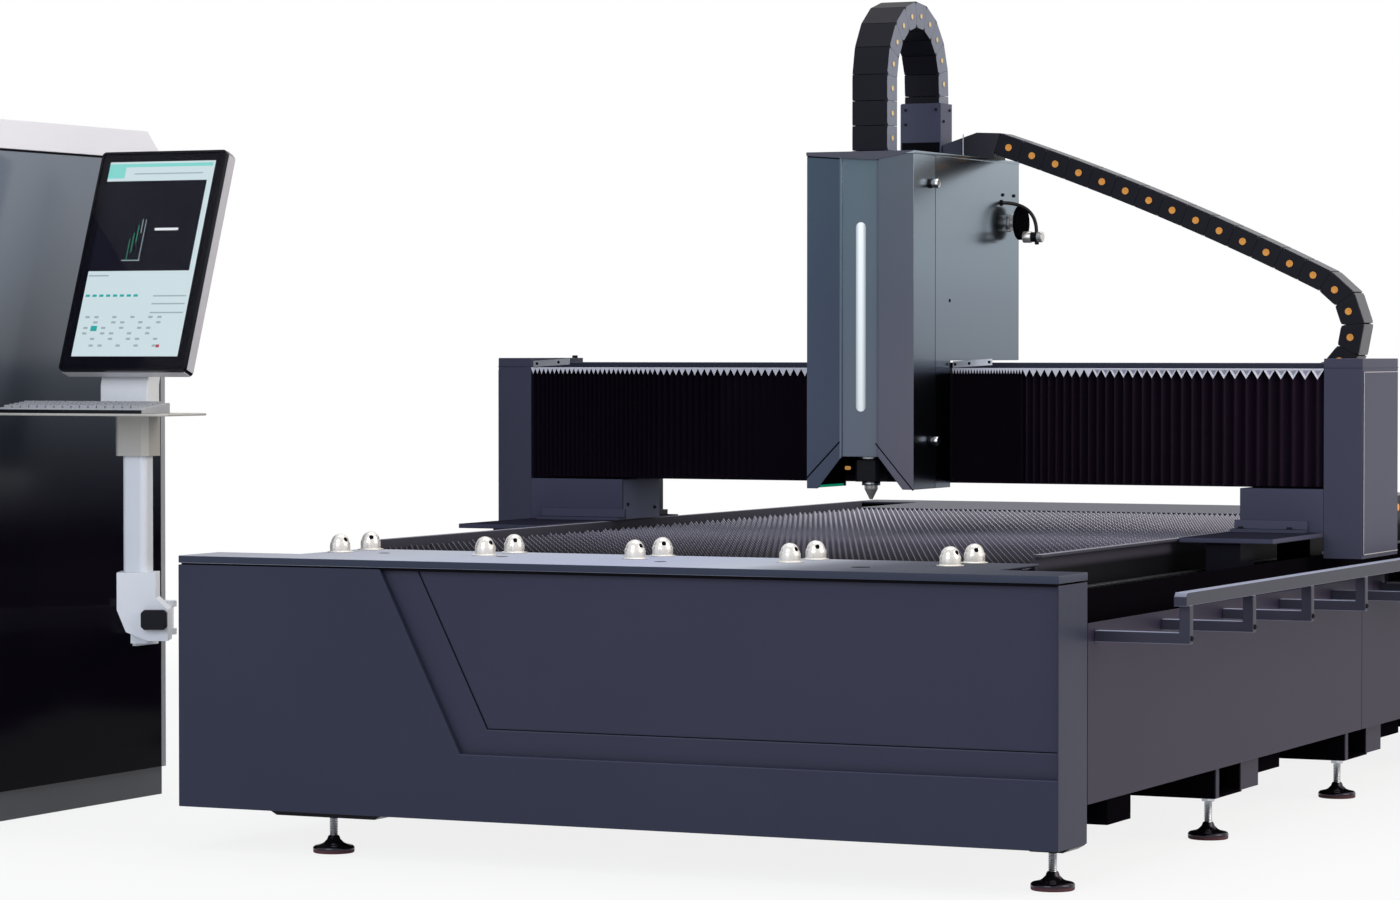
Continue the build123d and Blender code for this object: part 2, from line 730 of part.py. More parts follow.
def table_frame():
    """Side channels with ledges, slotted combs, and end rails."""
    inner = TABLE_X - TABLE_WALL
    top = BED_TOP + TABLE_RISE
    comb_x = TABLE_X - COMB_INSET
    channel = [
        (TABLE_X, TIE_TOP),
        (TABLE_X, top - TABLE_WALL),
        (TABLE_X + TABLE_LIP, top - TABLE_WALL),
        (TABLE_X + TABLE_LIP, top),
        (inner, top),
        (inner, LEDGE_Z),
        (comb_x - TABLE_FLANGE, LEDGE_Z),
        (comb_x - TABLE_FLANGE, LEDGE_Z - TABLE_WALL),
        (inner, LEDGE_Z - TABLE_WALL),
        (inner, TIE_TOP + TABLE_WALL),
        (TABLE_X - TABLE_FLANGE, TIE_TOP + TABLE_WALL),
        (TABLE_X - TABLE_FLANGE, TIE_TOP),
    ]
    pieces = both(along_y(channel, TABLE_Y))
    comb_y = shrink(TABLE_Y, TABLE_WALL)
    comb_top = BED_TOP - COMB_DROP
    comb = [(comb_y[0], LEDGE_Z), (comb_y[0], comb_top)]
    for y in slat_places():
        slot = around(y, SLAT_THICK + 2 * SLOT_CLEAR)
        comb += [(slot[0], comb_top), (slot[0], SLAT_FOOT), (slot[1], SLAT_FOOT), (slot[1], comb_top)]
    comb += [(comb_y[1], comb_top), (comb_y[1], LEDGE_Z)]
    pieces += both(along_x(comb, (comb_x - TABLE_WALL, comb_x)))
    rail_z = (TIE_TOP + TABLE_WALL, LEDGE_Z - TABLE_WALL)
    for rail_y in ((TABLE_Y[0], comb_y[0]), (comb_y[1], TABLE_Y[1])):
        pieces.append(block((-inner, inner), rail_y, rail_z))
    return pieces


def slats():
    """Upright strips with a saw-toothed top edge that carry the sheet."""
    end = TABLE_X - SLAT_INSET
    count = round(2 * end / TOOTH_PITCH)
    pitch = 2 * end / count
    valley = SLAT_TIP - TOOTH_DEPTH
    outline = [(-end, SLAT_FOOT), (-end, valley)]
    for i in range(count):
        start = -end + i * pitch
        outline += [(start + pitch / 2, SLAT_TIP), (start + pitch, valley)]
    outline.append((end, SLAT_FOOT))
    slat = along_y(outline, around(0, SLAT_THICK))
    return [Pos(0, y, 0) * slat for y in slat_places()]


def slag_trays():
    """Open trays on the ties, under the slats."""
    lines = tie_lines()
    x = (TRAY_INSET - TABLE_X, TABLE_X - TRAY_INSET)
    z = (TIE_TOP, TIE_TOP + TRAY_DEPTH)
    trays = []
    for low, high in zip(lines[:-1], lines[1:]):
        y = shrink((low, high), JOINT_GAP)
        trays.append(block(x, y, z) - block(shrink(x, SHEET), shrink(y, SHEET), (z[0] + SHEET, z[1])))
    return trays


def chain_shelf():
    """Outer rail on square-tube brackets beside the bed."""
    rail_top = BED_TOP - SHELF_RAIL_DROP
    rail_y = (SHELF_RAIL_START, BED_LENGTH - SHELF_RAIL_TAIL)
    count = int((rail_y[1] - SHELF_FIRST_Y) // SHELF_PITCH) + 1
    pieces = []
    for i in range(count):
        y = around(SHELF_FIRST_Y + i * SHELF_PITCH, SHELF_TUBE)
        arm = block((HALF, SHELF_OUT), y, (SHELF_ARM_TOP - SHELF_TUBE, SHELF_ARM_TOP))
        upright_z = (SHELF_ARM_TOP, rail_top - SHELF_RAIL)
        pieces.append(arm + block((SHELF_OUT - SHELF_TUBE, SHELF_OUT), y, upright_z))
    rail = block((SHELF_OUT - SHELF_RAIL, SHELF_OUT), rail_y, (rail_top - SHELF_RAIL, rail_top))
    ends = rail.edges().filter_by(Axis.X).group_by(Axis.Z)[-1]
    pieces.append(chamfer(ends, SHELF_RAIL / 3))
    return pieces


# Drag chains


def walk(start, heading, pieces, pitch):
    """Points and headings at each link's end along straight runs and clockwise arcs."""
    total = sum(length for length, _ in pieces)
    count = int(total // pitch)
    joints = []
    for i in range(count + 1):
        left = i * total / count
        x, z = start
        angle = math.radians(heading)
        for length, radius in pieces:
            run = min(length, left)
            left -= run
            if radius == 0:
                x += run * math.cos(angle)
                z += run * math.sin(angle)
                continue
            turn = run / radius
            x += radius * (math.sin(angle) - math.sin(angle - turn))
            z += radius * (math.cos(angle - turn) - math.cos(angle))
            angle -= turn
        joints.append((x, z, angle))
    return joints


def chain_outline(joints, height):
    """Side outline of a chain of links, notched where two links meet."""
    notch = [(-CHAIN_NOTCH, height / 2), (0, height / 2 - CHAIN_NOTCH), (CHAIN_NOTCH, height / 2)]
    upper = []
    lower = []
    for i, (x, z, angle) in enumerate(joints):
        across = (-math.sin(angle), math.cos(angle))
        ahead = (math.cos(angle), math.sin(angle))
        steps = notch if 0 < i < len(joints) - 1 else [(0, height / 2)]
        for forward, out in steps:
            base = (x + forward * ahead[0], z + forward * ahead[1])
            upper.append((base[0] + out * across[0], base[1] + out * across[1]))
            lower.append((base[0] - out * across[0], base[1] - out * across[1]))
    return upper + lower[::-1]


def y_drag_chain():
    """Chain of the long axis: from the right column back, round and along the shelf."""
    low = SHELF_ARM_TOP + FIT_GAP + CHAIN_HEIGHT / 2
    start = (COLUMN_REAR + FIT_GAP, low + 2 * Y_CHAIN_R)
    pieces = [(Y_CHAIN_RUN, 0), (math.pi * Y_CHAIN_R, Y_CHAIN_R), (Y_CHAIN_REST, 0)]
    return [along_x(chain_outline(walk(start, 0, pieces, LINK_PITCH), CHAIN_HEIGHT), Y_CHAIN_X)]


def x_drag_chain():
    """Chain of the cross axis: from the casing down to the shelf behind the beam."""
    sag = X_CHAIN_RUN / X_CHAIN_SAG_R
    turn = math.pi - math.radians(X_CHAIN_DIP) - sag
    pieces = [(X_CHAIN_RUN, X_CHAIN_SAG_R), (turn * X_CHAIN_R, X_CHAIN_R), (X_CHAIN_REST, 0)]
    joints = walk(X_CHAIN_START, -X_CHAIN_DIP, pieces, LINK_PITCH)
    return [along_y(chain_outline(joints, CHAIN_HEIGHT), X_CHAIN_Y)]


def x_chain_low():
    """Height of the middle of the cross-axis chain where it lies behind the beam."""
    sag = X_CHAIN_RUN / X_CHAIN_SAG_R
    dip = math.radians(X_CHAIN_DIP)
    drop = X_CHAIN_SAG_R * (math.cos(dip) - math.cos(dip + sag))
    return X_CHAIN_START[1] - drop - X_CHAIN_R * (1 + math.cos(dip + sag))


def z_drag_chain():
    """Arch of chain over the casing, from the vertical slide to its fixed bracket."""
    arch = CASING_TOP + Z_CHAIN_ARCH_RISE
    end = CASING_TOP + Z_CHAIN_END_RISE
    pieces = [(arch - Z_CHAIN_FOOT, 0), (math.pi * Z_CHAIN_R, Z_CHAIN_R), (arch - end, 0)]
    joints = walk((Z_CHAIN_LEG_Y, Z_CHAIN_FOOT), 90, pieces, LINK_PITCH)
    return [along_x(chain_outline(joints, Z_CHAIN_HEIGHT), Z_CHAIN_X)]


# Gantry


def gantry_beam():
    """Box beam, and the angle on its back that the chain lies on."""
    beam = tube((-COLUMN_X[0], COLUMN_X[0]), GANTRY_BEAM_Y, GANTRY_BEAM_Z, "x", TUBE_WALL)
    top = x_chain_low() - CHAIN_HEIGHT / 2 - FIT_GAP
    back = GANTRY_BEAM_Y[1]
    reach = X_CHAIN_Y[1] + SHEET
    shelf = [
        (back, top), (reach, top), (reach, top - SHEET), (back + SHEET, top - SHEET),
        (back + SHEET, top - CHAIN_HEIGHT), (back, top - CHAIN_HEIGHT),
    ]
    return [beam, along_x(shelf, (HEAD_X, COLUMN_X[0]))]


def end_columns():
    """Boxed end columns, open underneath."""
    y = (GANTRY_FRONT, COLUMN_REAR)
    z = (BED_TOP - COLUMN_DROP, BED_TOP + COLUMN_RISE)
    column = block(COLUMN_X, y, z)
    column -= block(shrink(COLUMN_X, SHEET), shrink(y, SHEET), (z[0], z[1] - SHEET))
    return both(column)


def saddle(extra):
    """Saddle plate with risers to the guide blocks, a box under the beam and a toe angle."""
    x = (HALF - SADDLE_INSET, COLUMN_X[0])
    body = block(x, (GANTRY_FRONT - SADDLE_AHEAD, GANTRY_FRONT + SADDLE_BEHIND), SADDLE_Z)
    for place in BLOCK_PLACES:
        riser_y = around(GANTRY_FRONT + place, BLOCK_LENGTH)
        body += block(around(RAIL_X, BLOCK_WIDTH), riser_y, (BLOCK_TOP, SADDLE_Z[0]))
    box_x = (HALF - SADDLE_BOX_INSET - extra, COLUMN_X[0] - FIT_GAP)
    box_y = (GANTRY_FRONT, GANTRY_FRONT + SADDLE_BOX_DEPTH)
    box_z = (SADDLE_Z[1], GANTRY_BEAM_Z[0])
    body += block(box_x, box_y, box_z)
    inside_y = (box_y[0] + TUBE_WALL, box_y[1])
    body -= block(shrink(box_x, TUBE_WALL), inside_y, (box_z[0], box_z[1] - TUBE_WALL))
    front, foot = box_y[0], box_z[0]
    toe = [
        (front, foot), (front, foot + TOE_HEIGHT), (front - TOE_THICK, foot + TOE_HEIGHT),
        (front - 1.5 * TOE_THICK, foot + TOE_THICK), (front - TOE_REACH, foot + TOE_THICK),
        (front - TOE_REACH, foot),
    ]
    body += along_x(toe, (box_x[0] - TOE_OUT, box_x[1] - TOE_SHORT))
    return body - post(SHAFT_R + SHAFT_HOLE_CLEAR, PINION_X, PINION_Y, SADDLE_Z)


def saddles():
    """The two saddles; the left one's box reaches further in."""
    return [saddle(0), mirror(saddle(SADDLE_BOX_LEFT_EXTRA), about=Plane.YZ)]


def y_guide_blocks():
    """Blocks that straddle the guide rails."""
    z = (BEAM_TOP + BLOCK_LIFT, BLOCK_TOP)
    groove_z = (z[0], BEAM_TOP + RAIL_HEIGHT + GUIDE_CLEAR)
    groove_x = around(RAIL_X, RAIL_WIDTH + 2 * GUIDE_CLEAR)
    blocks = []
    for place in BLOCK_PLACES:
        y = around(GANTRY_FRONT + place, BLOCK_LENGTH)
        blocks += both(block(around(RAIL_X, BLOCK_WIDTH), y, z) - block(groove_x, y, groove_z))
    return blocks


def y_motors():
    """Servo motors standing on the saddle plates behind the beam: flange, body and end cap."""
    z = SADDLE_Z[1]
    cap_z = z + MOTOR_HEIGHT - MOTOR_CAP
    foot_z = (z, z + MOTOR_FLANGE_THICK)
    motor = block(around(PINION_X, MOTOR_FLANGE), around(PINION_Y, MOTOR_FLANGE), foot_z)
    body = block(around(PINION_X, MOTOR_SIDE), around(PINION_Y, MOTOR_SIDE), (foot_z[1], cap_z))
    motor += chamfer(body.edges().filter_by(Axis.Z), MOTOR_CHAMFER)
    cap = (around(PINION_X, MOTOR_CAP_SIDE), around(PINION_Y, MOTOR_CAP_SIDE))
    motor += block(*cap, (cap_z, z + MOTOR_HEIGHT))
    return both(motor - post(SHAFT_R + RUN_CLEAR, PINION_X, PINION_Y, (z, z + SHAFT_ENGAGE)))


def y_pinion(side):
    """Pinion and shaft of one long-axis drive."""
    pinion = post(PINION_R, PINION_X, PINION_Y, (RACK_TOP - PINION_HEIGHT, RACK_TOP))
    pinion += post(SHAFT_R, PINION_X, PINION_Y, (RACK_TOP, SADDLE_Z[1] + SHAFT_ENGAGE - FIT_GAP))
    return [both(pinion)[side]]


def x_rails_and_rack():
    """Cross-axis guide rails and rack on the beam's front face."""
    y = (GANTRY_BEAM_Y[0] - X_RAIL_DEPTH, GANTRY_BEAM_Y[0])
    x = shrink((-COLUMN_X[0], COLUMN_X[0]), X_RAIL_SHORT)
    rails = [block(x, y, around(z, X_RAIL_WIDTH)) for z in x_rail_heights()]
    return [*rails, block(x, y, (X_RACK_TOP - X_RACK_HEIGHT, X_RACK_TOP))]


def x_rail_heights():
    """Middle heights of the cross-axis rails."""
    return [GANTRY_BEAM_Z[0] + rise for rise in X_RAIL_RISE]


def bellows(x, folds):
    """Pleated cover: a zigzag sheet that stands on edge."""
    step = (x[1] - x[0]) / folds
    valley = GANTRY_FRONT + FOLD_DEPTH
    front = []
    for i in range(folds):
        front += [(x[0] + i * step, valley), (x[0] + (i + 0.5) * step, GANTRY_FRONT)]
    front.append((x[1], valley))
    back = [(px, py + FOLD_WALL) for px, py in reversed(front)]
    return [along_z(front + back, BELLOWS_Z)]


def left_bellows():
    """Pleated cover from the left column to the carriage."""
    return bellows((-COLUMN_X[0] + FIT_GAP, CASING_X[0] - FIT_GAP), LEFT_FOLDS)


def right_bellows():
    """Pleated cover from the carriage to the right column."""
    return bellows((CASING_X[1] + FIT_GAP, COLUMN_X[0] - FIT_GAP), RIGHT_FOLDS)


# Carriage and casing


def carriage_plate():
    """Carriage plate with bellows flanges, a spacer, the vertical back plate and a motor plate."""
    plate = block(CASING_X, CARRIAGE_Y, CARRIAGE_Z)
    flange_y = (CASING_LOW_REAR + JOINT_GAP, CARRIAGE_Y[0])
    for x in ((CASING_X[0], CASING_X[0] + SHEET), (CASING_X[1] - SHEET, CASING_X[1])):
        plate += block(x, flange_y, CARRIAGE_Z)
    spacer_z = (GANTRY_BEAM_Z[0] + SPACER_RISE[0], GANTRY_BEAM_Z[0] + SPACER_RISE[1])
    plate += block(BACKPLATE_X, (BACKPLATE_Y[1], CARRIAGE_Y[0]), spacer_z)
    plate += block(BACKPLATE_X, BACKPLATE_Y, (spacer_z[0], Z_RAIL_TOP))
    motor_plate_x = (Z_CHAIN_X[1] + JOINT_GAP, BACKPLATE_X[1])
    plate += block(motor_plate_x, BACKPLATE_Y, (Z_RAIL_TOP, CASING_TOP - BACKPLATE_BELOW_LID))
    bore_y = (BACKPLATE_Y[1] + SHAFT_ENGAGE, CARRIAGE_Y[1])
    return [plate - pin_y(SHAFT_R + RUN_CLEAR, HEAD_X, bore_y, X_PINION_Z)]


def carriage_rails():
    """Cross-axis guide blocks, and the rails of the vertical slide."""
    y = (CARRIAGE_Y[1], GANTRY_BEAM_Y[0] - BLOCK_LIFT)
    groove_y = (GANTRY_BEAM_Y[0] - X_RAIL_DEPTH - GUIDE_CLEAR, y[1])
    pieces = []
    for z in x_rail_heights():
        groove_z = around(z, X_RAIL_WIDTH + 2 * GUIDE_CLEAR)
        for side in (-1, 1):
            x = around(HEAD_X + side * (CASING_WIDTH - X_BLOCK_LENGTH) / 2, X_BLOCK_LENGTH)
            pieces.append(block(x, y, around(z, X_BLOCK_HEIGHT)) - block(x, groove_y, groove_z))
    rail_y = (BACKPLATE_Y[0] - Z_RAIL_DEPTH, BACKPLATE_Y[0])
    for side in (-1, 1):
        x = around(HEAD_X + side * Z_RAIL_OFFSET, Z_RAIL_WIDTH)
        pieces.append(block(x, rail_y, (SCREW_Z[0], Z_RAIL_TOP)))
    return pieces


def x_pinion():
    """Cross-axis pinion on its shaft."""
    gear_y = (GANTRY_BEAM_Y[0] - X_RAIL_DEPTH, GANTRY_BEAM_Y[0] - JOINT_GAP)
    shaft_y = (BACKPLATE_Y[1] + SHAFT_ENGAGE + FIT_GAP, gear_y[0])
    return [pin_y(X_PINION_R, HEAD_X, gear_y, X_PINION_Z) + pin_y(SHAFT_R, HEAD_X, shaft_y, X_PINION_Z)]


def side_outline(wall):
    """The casing's side view, tall in front of the beam and deep above it, less a wall."""
    low_rear = CASING_LOW_REAR + 2 * wall
    front = CASING_SEAM - wall
    bottom = CASING_BOTTOM - wall
    step = CASING_STEP + wall
    rear = CASING_REAR - wall
    top = CASING_TOP - LID - wall
    return [(front, bottom), (low_rear, bottom), (low_rear, step), (rear, step), (rear, top), (front, top)]


def head_casing():
    """Casing body behind the front cover's seam, with its lid and the chain's mouth."""
    shell = along_x(side_outline(0), CASING_X) - along_x(side_outline(SHEET), shrink(CASING_X, SHEET))
    lid_x = shrink(CASING_X, -LID_OVERHANG)
    lid_y = (CASING_FRONT - LID_OVERHANG, CASING_REAR + LID_OVERHANG)
    shell += block(lid_x, lid_y, (CASING_TOP - LID, CASING_TOP))
    mouth_y = around(Z_CHAIN_LEG_Y, Z_CHAIN_HEIGHT + 2 * MOUTH_GAP)
    return [shell - block(shrink(Z_CHAIN_X, -MOUTH_GAP), mouth_y, (CASING_TOP - LID - SHEET, CASING_TOP))]


def casing_front_cover():
    """Folded front cover: recessed centre strip, cut-up bottom edge and a slot for the light."""
    strip = around(HEAD_X, STRIP_WIDTH)
    seam = CASING_SEAM - 1
    deep = CASING_FRONT + STRIP_RECESS
    outside = [
        (CASING_X[0], seam), (CASING_X[0], CASING_FRONT), (strip[0], CASING_FRONT), (strip[0], deep),
        (strip[1], deep), (strip[1], CASING_FRONT), (CASING_X[1], CASING_FRONT), (CASING_X[1], seam),
    ]
    inside = [
        (CASING_X[1] - SHEET, seam), (CASING_X[1] - SHEET, CASING_FRONT + SHEET),
        (strip[1] + SHEET, CASING_FRONT + SHEET), (strip[1] + SHEET, deep + SHEET),
        (strip[0] - SHEET, deep + SHEET), (strip[0] - SHEET, CASING_FRONT + SHEET),
        (CASING_X[0] + SHEET, CASING_FRONT + SHEET), (CASING_X[0] + SHEET, seam),
    ]
    cover = along_z(outside + inside, (CASING_BOTTOM, CASING_TOP - LID))
    low = around(HEAD_X, NOTCH_WIDTH)
    top = CASING_BOTTOM + NOTCH_HEIGHT
    notch = [(low[0], CASING_BOTTOM), (strip[0], top), (strip[1], top), (low[1], CASING_BOTTOM)]
    cover -= along_y(notch, (CASING_FRONT, deep + SHEET))
    return [cover - light_slot(0, (deep, deep + SHEET))]


def light_slot(gap, y):
    """Upright stadium of the light strip."""
    z = (CASING_BOTTOM + LIGHT_RISE[0] + gap, CASING_BOTTOM + LIGHT_RISE[1] - gap)
    plane = Plane(origin=(HEAD_X, y[1], sum(z) / 2), x_dir=(0, 0, 1), z_dir=(0, -1, 0))
    return extrude(plane * SlotOverall(z[1] - z[0], LIGHT_WIDTH - 2 * gap), y[1] - y[0])


def light_strip():
    """Opal lens of the light strip, let into the cover."""
    deep = CASING_FRONT + STRIP_RECESS
    return [light_slot(FIT_GAP, (deep - LENS_PROUD, deep + SHEET))]


def carriage_motors():
    """Vertical motor above the screw, and the cross-axis motor over the beam."""
    lift_y = (BACKPLATE_Y[0] - LIFT_MOTOR_DEPTH, BACKPLATE_Y[0])
    lift_z = (SCREW_Z[1] + FIT_GAP, CASING_TOP - BACKPLATE_BELOW_LID)
    lift = block(around(HEAD_X, LIFT_MOTOR_SIDE), lift_y, lift_z)
    cross_y = (BACKPLATE_Y[1], CASING_REAR - CROSS_MOTOR_SHORT)
    cross_z = (CASING_STEP + CROSS_MOTOR_RISE[0], CASING_STEP + CROSS_MOTOR_RISE[1])
    cross = block(around(HEAD_X, CROSS_MOTOR_SIDE), cross_y, cross_z)
    return [lift, chamfer(cross.edges().filter_by(Axis.Y), MOTOR_CHAMFER)]


def gas_valve():
    """Small gas valve on the casing's right side: foot, round body and outlet."""
    x = CASING_X[1]
    y = GANTRY_FRONT + VALVE_BEHIND
    z = CASING_TOP - VALVE_BELOW_LID
    disc_x = (x + VALVE_SIZE[0], x + VALVE_SIZE[0] + VALVE_DISC_DEPTH)
    body = block((x, disc_x[0]), around(y, VALVE_SIZE[1]), around(z, VALVE_SIZE[2]))
    body += pin_x(VALVE_DISC_R, disc_x, y, z)
    return [body + pin_x(OUTLET_R, (disc_x[1], disc_x[1] + OUTLET_LENGTH), y, z - OUTLET_DROP)]


def gas_hose():
    """Short hose that leaves the casing's side and bends down to the valve's outlet."""
    x = CASING_X[1]
    y = GANTRY_FRONT + VALVE_BEHIND
    z = CASING_TOP - VALVE_BELOW_LID
    clear = HOSE_R * HOSE_AHEAD / math.hypot(HOSE_AHEAD, HOSE_REACH) + RUN_CLEAR
    top = z + HOSE_RISE
    path = FilletPolyline(
        (x + clear, y - HOSE_AHEAD, top),
        (x + HOSE_REACH, y, top),
        (x + HOSE_REACH, y, z - OUTLET_DROP + OUTLET_R),
        radius=HOSE_BEND,
    )
    section = Plane(origin=path @ 0, z_dir=path % 0) * RegularPolygon(HOSE_R, HOSE_SIDES)
    return [sweep(section, path=path)]


def chain_brackets():
    """Box round the arch's fixed end, and the block that starts the cross-axis chain."""
    y = around(Z_CHAIN_REAR_Y, Z_CHAIN_HEIGHT + 2)
    x = shrink(Z_CHAIN_X, -1)
    z = (CASING_TOP, CASING_TOP + Z_BRACKET_HEIGHT)
    box = tube(shrink(x, -Z_BRACKET_WALL), shrink(y, -Z_BRACKET_WALL), z, "z", Z_BRACKET_WALL)
    dip = math.radians(X_CHAIN_DIP)
    end_x = X_CHAIN_START[0] - FIT_GAP * math.cos(dip)
    end_z = X_CHAIN_START[1] + FIT_GAP * math.sin(dip)
    half = (CHAIN_HEIGHT / 2 * math.sin(dip), CHAIN_HEIGHT / 2 * math.cos(dip))
    near = x[1] + Z_BRACKET_WALL + JOINT_GAP
    channel = [
        (near, CASING_TOP), (end_x - half[0], CASING_TOP), (end_x - half[0], end_z - half[1]),
        (end_x + half[0], end_z + half[1]), (end_x - X_BRACKET_TOP, end_z + half[1] + CHAIN_NOTCH),
        (near, CASING_TOP + X_BRACKET_LOW),
    ]
    return [box, along_y(channel, X_CHAIN_Y)]


def z_plate():
    """Vertical slide plate with its blocks, the screw's nut and a hanger for the chain."""
    plate = block(BACKPLATE_X, Z_PLATE_Y, Z_PLATE_Z)
    block_y = (Z_PLATE_Y[1], BACKPLATE_Y[0] - Z_BLOCK_GAP)
    groove_y = (BACKPLATE_Y[0] - Z_RAIL_DEPTH - GUIDE_CLEAR, block_y[1])
    for z in shrink(Z_PLATE_Z, Z_BLOCK_LENGTH * 0.7):
        for side in (-1, 1):
            middle = HEAD_X + side * Z_RAIL_OFFSET
            body = block(around(middle, Z_BLOCK_WIDTH), block_y, around(z, Z_BLOCK_LENGTH))
            groove_x = around(middle, Z_RAIL_WIDTH + 2 * GUIDE_CLEAR)
            plate += body - block(groove_x, groove_y, around(z, Z_BLOCK_LENGTH))
    nut_z = around(sum(Z_PLATE_Z) / 2, NUT_LENGTH)
    plate += block(around(HEAD_X, NUT_WIDTH), (Z_PLATE_Y[1], BACKPLATE_Y[0] - 1), nut_z)
    plate -= post(SCREW_R + RUN_CLEAR, HEAD_X, SCREW_Y, nut_z)
    hanger_x = (Z_CHAIN_X[0] + JOINT_GAP, BACKPLATE_X[0])
    top = Z_CHAIN_FOOT - FIT_GAP
    plate += block(hanger_x, Z_PLATE_Y, (Z_PLATE_Z[1] - Z_BLOCK_LENGTH, top))
    foot_y = (Z_PLATE_Y[1], Z_CHAIN_LEG_Y + Z_CHAIN_HEIGHT / 2)
    return [plate + block((hanger_x[0], hanger_x[1] - JOINT_GAP), foot_y, (top - HANGER_THICK, top))]


def z_screw():
    """Ball screw of the vertical slide."""
    return [post(SCREW_R, HEAD_X, SCREW_Y, SCREW_Z)]


def cutting_head():
    """Cutting head: optics body on its neck, round collar and the sensor block over the nozzle."""
    sensor_z = (NOZZLE_Z[1], NOZZLE_Z[1] + SENSOR_HEIGHT)
    optics_z = (sensor_z[1] + COLLAR_HEIGHT, Z_PLATE_Z[1] - OPTICS_BELOW_PLATE)
    body = block(around(HEAD_X, OPTICS_SIDE), around(HEAD_Y, OPTICS_SIDE), optics_z)
    body = chamfer(body.edges().filter_by(Axis.Z), MOTOR_CHAMFER)
    neck_y = (HEAD_Y + OPTICS_SIDE / 2, Z_PLATE_Y[0])
    body += block(around(HEAD_X, OPTICS_NECK), neck_y, shrink(optics_z, OPTICS_NECK / 2))
    body += post(COLLAR_R, HEAD_X, HEAD_Y, (sensor_z[1], optics_z[0]))
    sensor = block(around(HEAD_X, SENSOR_SIDE), around(HEAD_Y, SENSOR_SIDE), sensor_z)
    return [body + chamfer(sensor.edges().filter_by(Axis.Z), MOTOR_CHAMFER)]


def nozzle():
    """Conical nozzle with its through bore."""
    low, high = NOZZLE_Z
    cone = turned(
        (NOZZLE_BORE_R, low), (NOZZLE_TIP_R, low), (NOZZLE_R, low + NOZZLE_CONE),
        (NOZZLE_R, high), (NOZZLE_BORE_R, high),
    )
    return [Pos(HEAD_X, HEAD_Y, 0) * cone]


# Control cabinet


def console_cabinet():
    """Cabinet shell, open at the back, on a set-in plinth."""
    front = FACE_X - SHEET
    shell = block((CABINET_BACK, front), CABINET_Y, (PLINTH, CABINET_TOP))
    inside_z = (CABINET_FLOOR, CABINET_TOP - CABINET_WALL)
    shell -= block((CABINET_BACK, front - CABINET_WALL), shrink(CABINET_Y, CABINET_WALL), inside_z)
    plinth_x = shrink((CABINET_BACK, front), PLINTH_INSET)
    shell += tube(plinth_x, shrink(CABINET_Y, PLINTH_INSET), (0, PLINTH), "z", PLINTH_WALL)
    strip_y = (CABINET_Y[1] - PANEL_EDGE, CABINET_Y[1])
    return [shell + block((front, FACE_X), strip_y, (PLINTH, CABINET_TOP))]


def console_panel():
    """Dark glossy skin on the face towards the bed."""
    y = (CABINET_Y[0], CABINET_Y[1] - PANEL_EDGE - FIT_GAP)
    return [block((FACE_X - SHEET, FACE_X), y, (PLINTH, CABINET_TOP))]


def console_cap():
    """Pale hipped cap on the cabinet."""
    base = Pos((CABINET_BACK + FACE_X) / 2, sum(CABINET_Y) / 2, CABINET_TOP)
    slope = math.degrees(math.atan2(CAP_SLOPE, CAP_HEIGHT))
    skins = []
    for wall in (0, SHEET):
        outline = Rectangle(CABINET_DEPTH - 2 * wall, CABINET_Y[1] - CABINET_Y[0] - 2 * wall)
        skins.append(base * extrude(outline, CAP_HEIGHT - wall, taper=slope))
    return [skins[0] - skins[1]]


def hinge_heights():
    """Middle heights of each door's two hinges."""
    return shrink((PLINTH, CABINET_TOP), HINGE_FROM_END)


def far_side(solid):
    """A near-door piece mirrored to the far door."""
    return mirror(solid, about=Plane.XZ.offset(-sum(CABINET_Y) / 2))


def cabinet_hinges():
    """Hinge eyes on the cabinet's side walls, above and below each door's barrels."""
    x = (HINGE_X - HINGE_EYE_WIDTH, CABINET_BACK)
    y = (CABINET_Y[0], CABINET_Y[0] + HINGE_LINE + HINGE_EYE_WIDTH)
    eyes = []
    for middle in hinge_heights():
        inner = around(middle, HINGE_BARREL + 2 * FIT_GAP)
        for z in ((inner[0] - HINGE_EYE, inner[0]), (inner[1], inner[1] + HINGE_EYE)):
            nose = block(x, y, z).edges().filter_by(Axis.Z).group_by(Axis.X)[0].sort_by(Axis.Y)
            eye = chamfer(nose[0], HINGE_LINE)
            inner_corner = eye.edges().filter_by(Axis.Z).group_by(Axis.X)[0].sort_by(Axis.Y)[-1]
            eye = chamfer(inner_corner, HINGE_NOSE)
            eyes += [eye, far_side(eye)]
    return eyes


def near_door():
    """Rear door leaf: a folded pan with hinge barrels and a grip."""
    x = around(HINGE_X, DOOR_THICK)
    edge = CABINET_Y[0] + HINGE_LINE
    y = (edge + HINGE_EDGE, (CABINET_Y[0] + CABINET_Y[1] - DOOR_GAP) / 2)
    z = shrink((PLINTH, CABINET_TOP), DOOR_GAP)
    leaf = block(x, y, z)
    leaf -= block((x[0] + DOOR_SHEET, x[1]), shrink(y, DOOR_SHEET), shrink(z, DOOR_SHEET))
    for middle in hinge_heights():
        leaf += post(HINGE_R, HINGE_X, edge, around(middle, HINGE_BARREL))
    grip_y = (y[1] - GRIP_INSET - GRIP_WIDTH, y[1] - GRIP_INSET)
    return leaf + block((x[0] - GRIP, x[0]), grip_y, around(sum(z) / 2, GRIP_LENGTH))


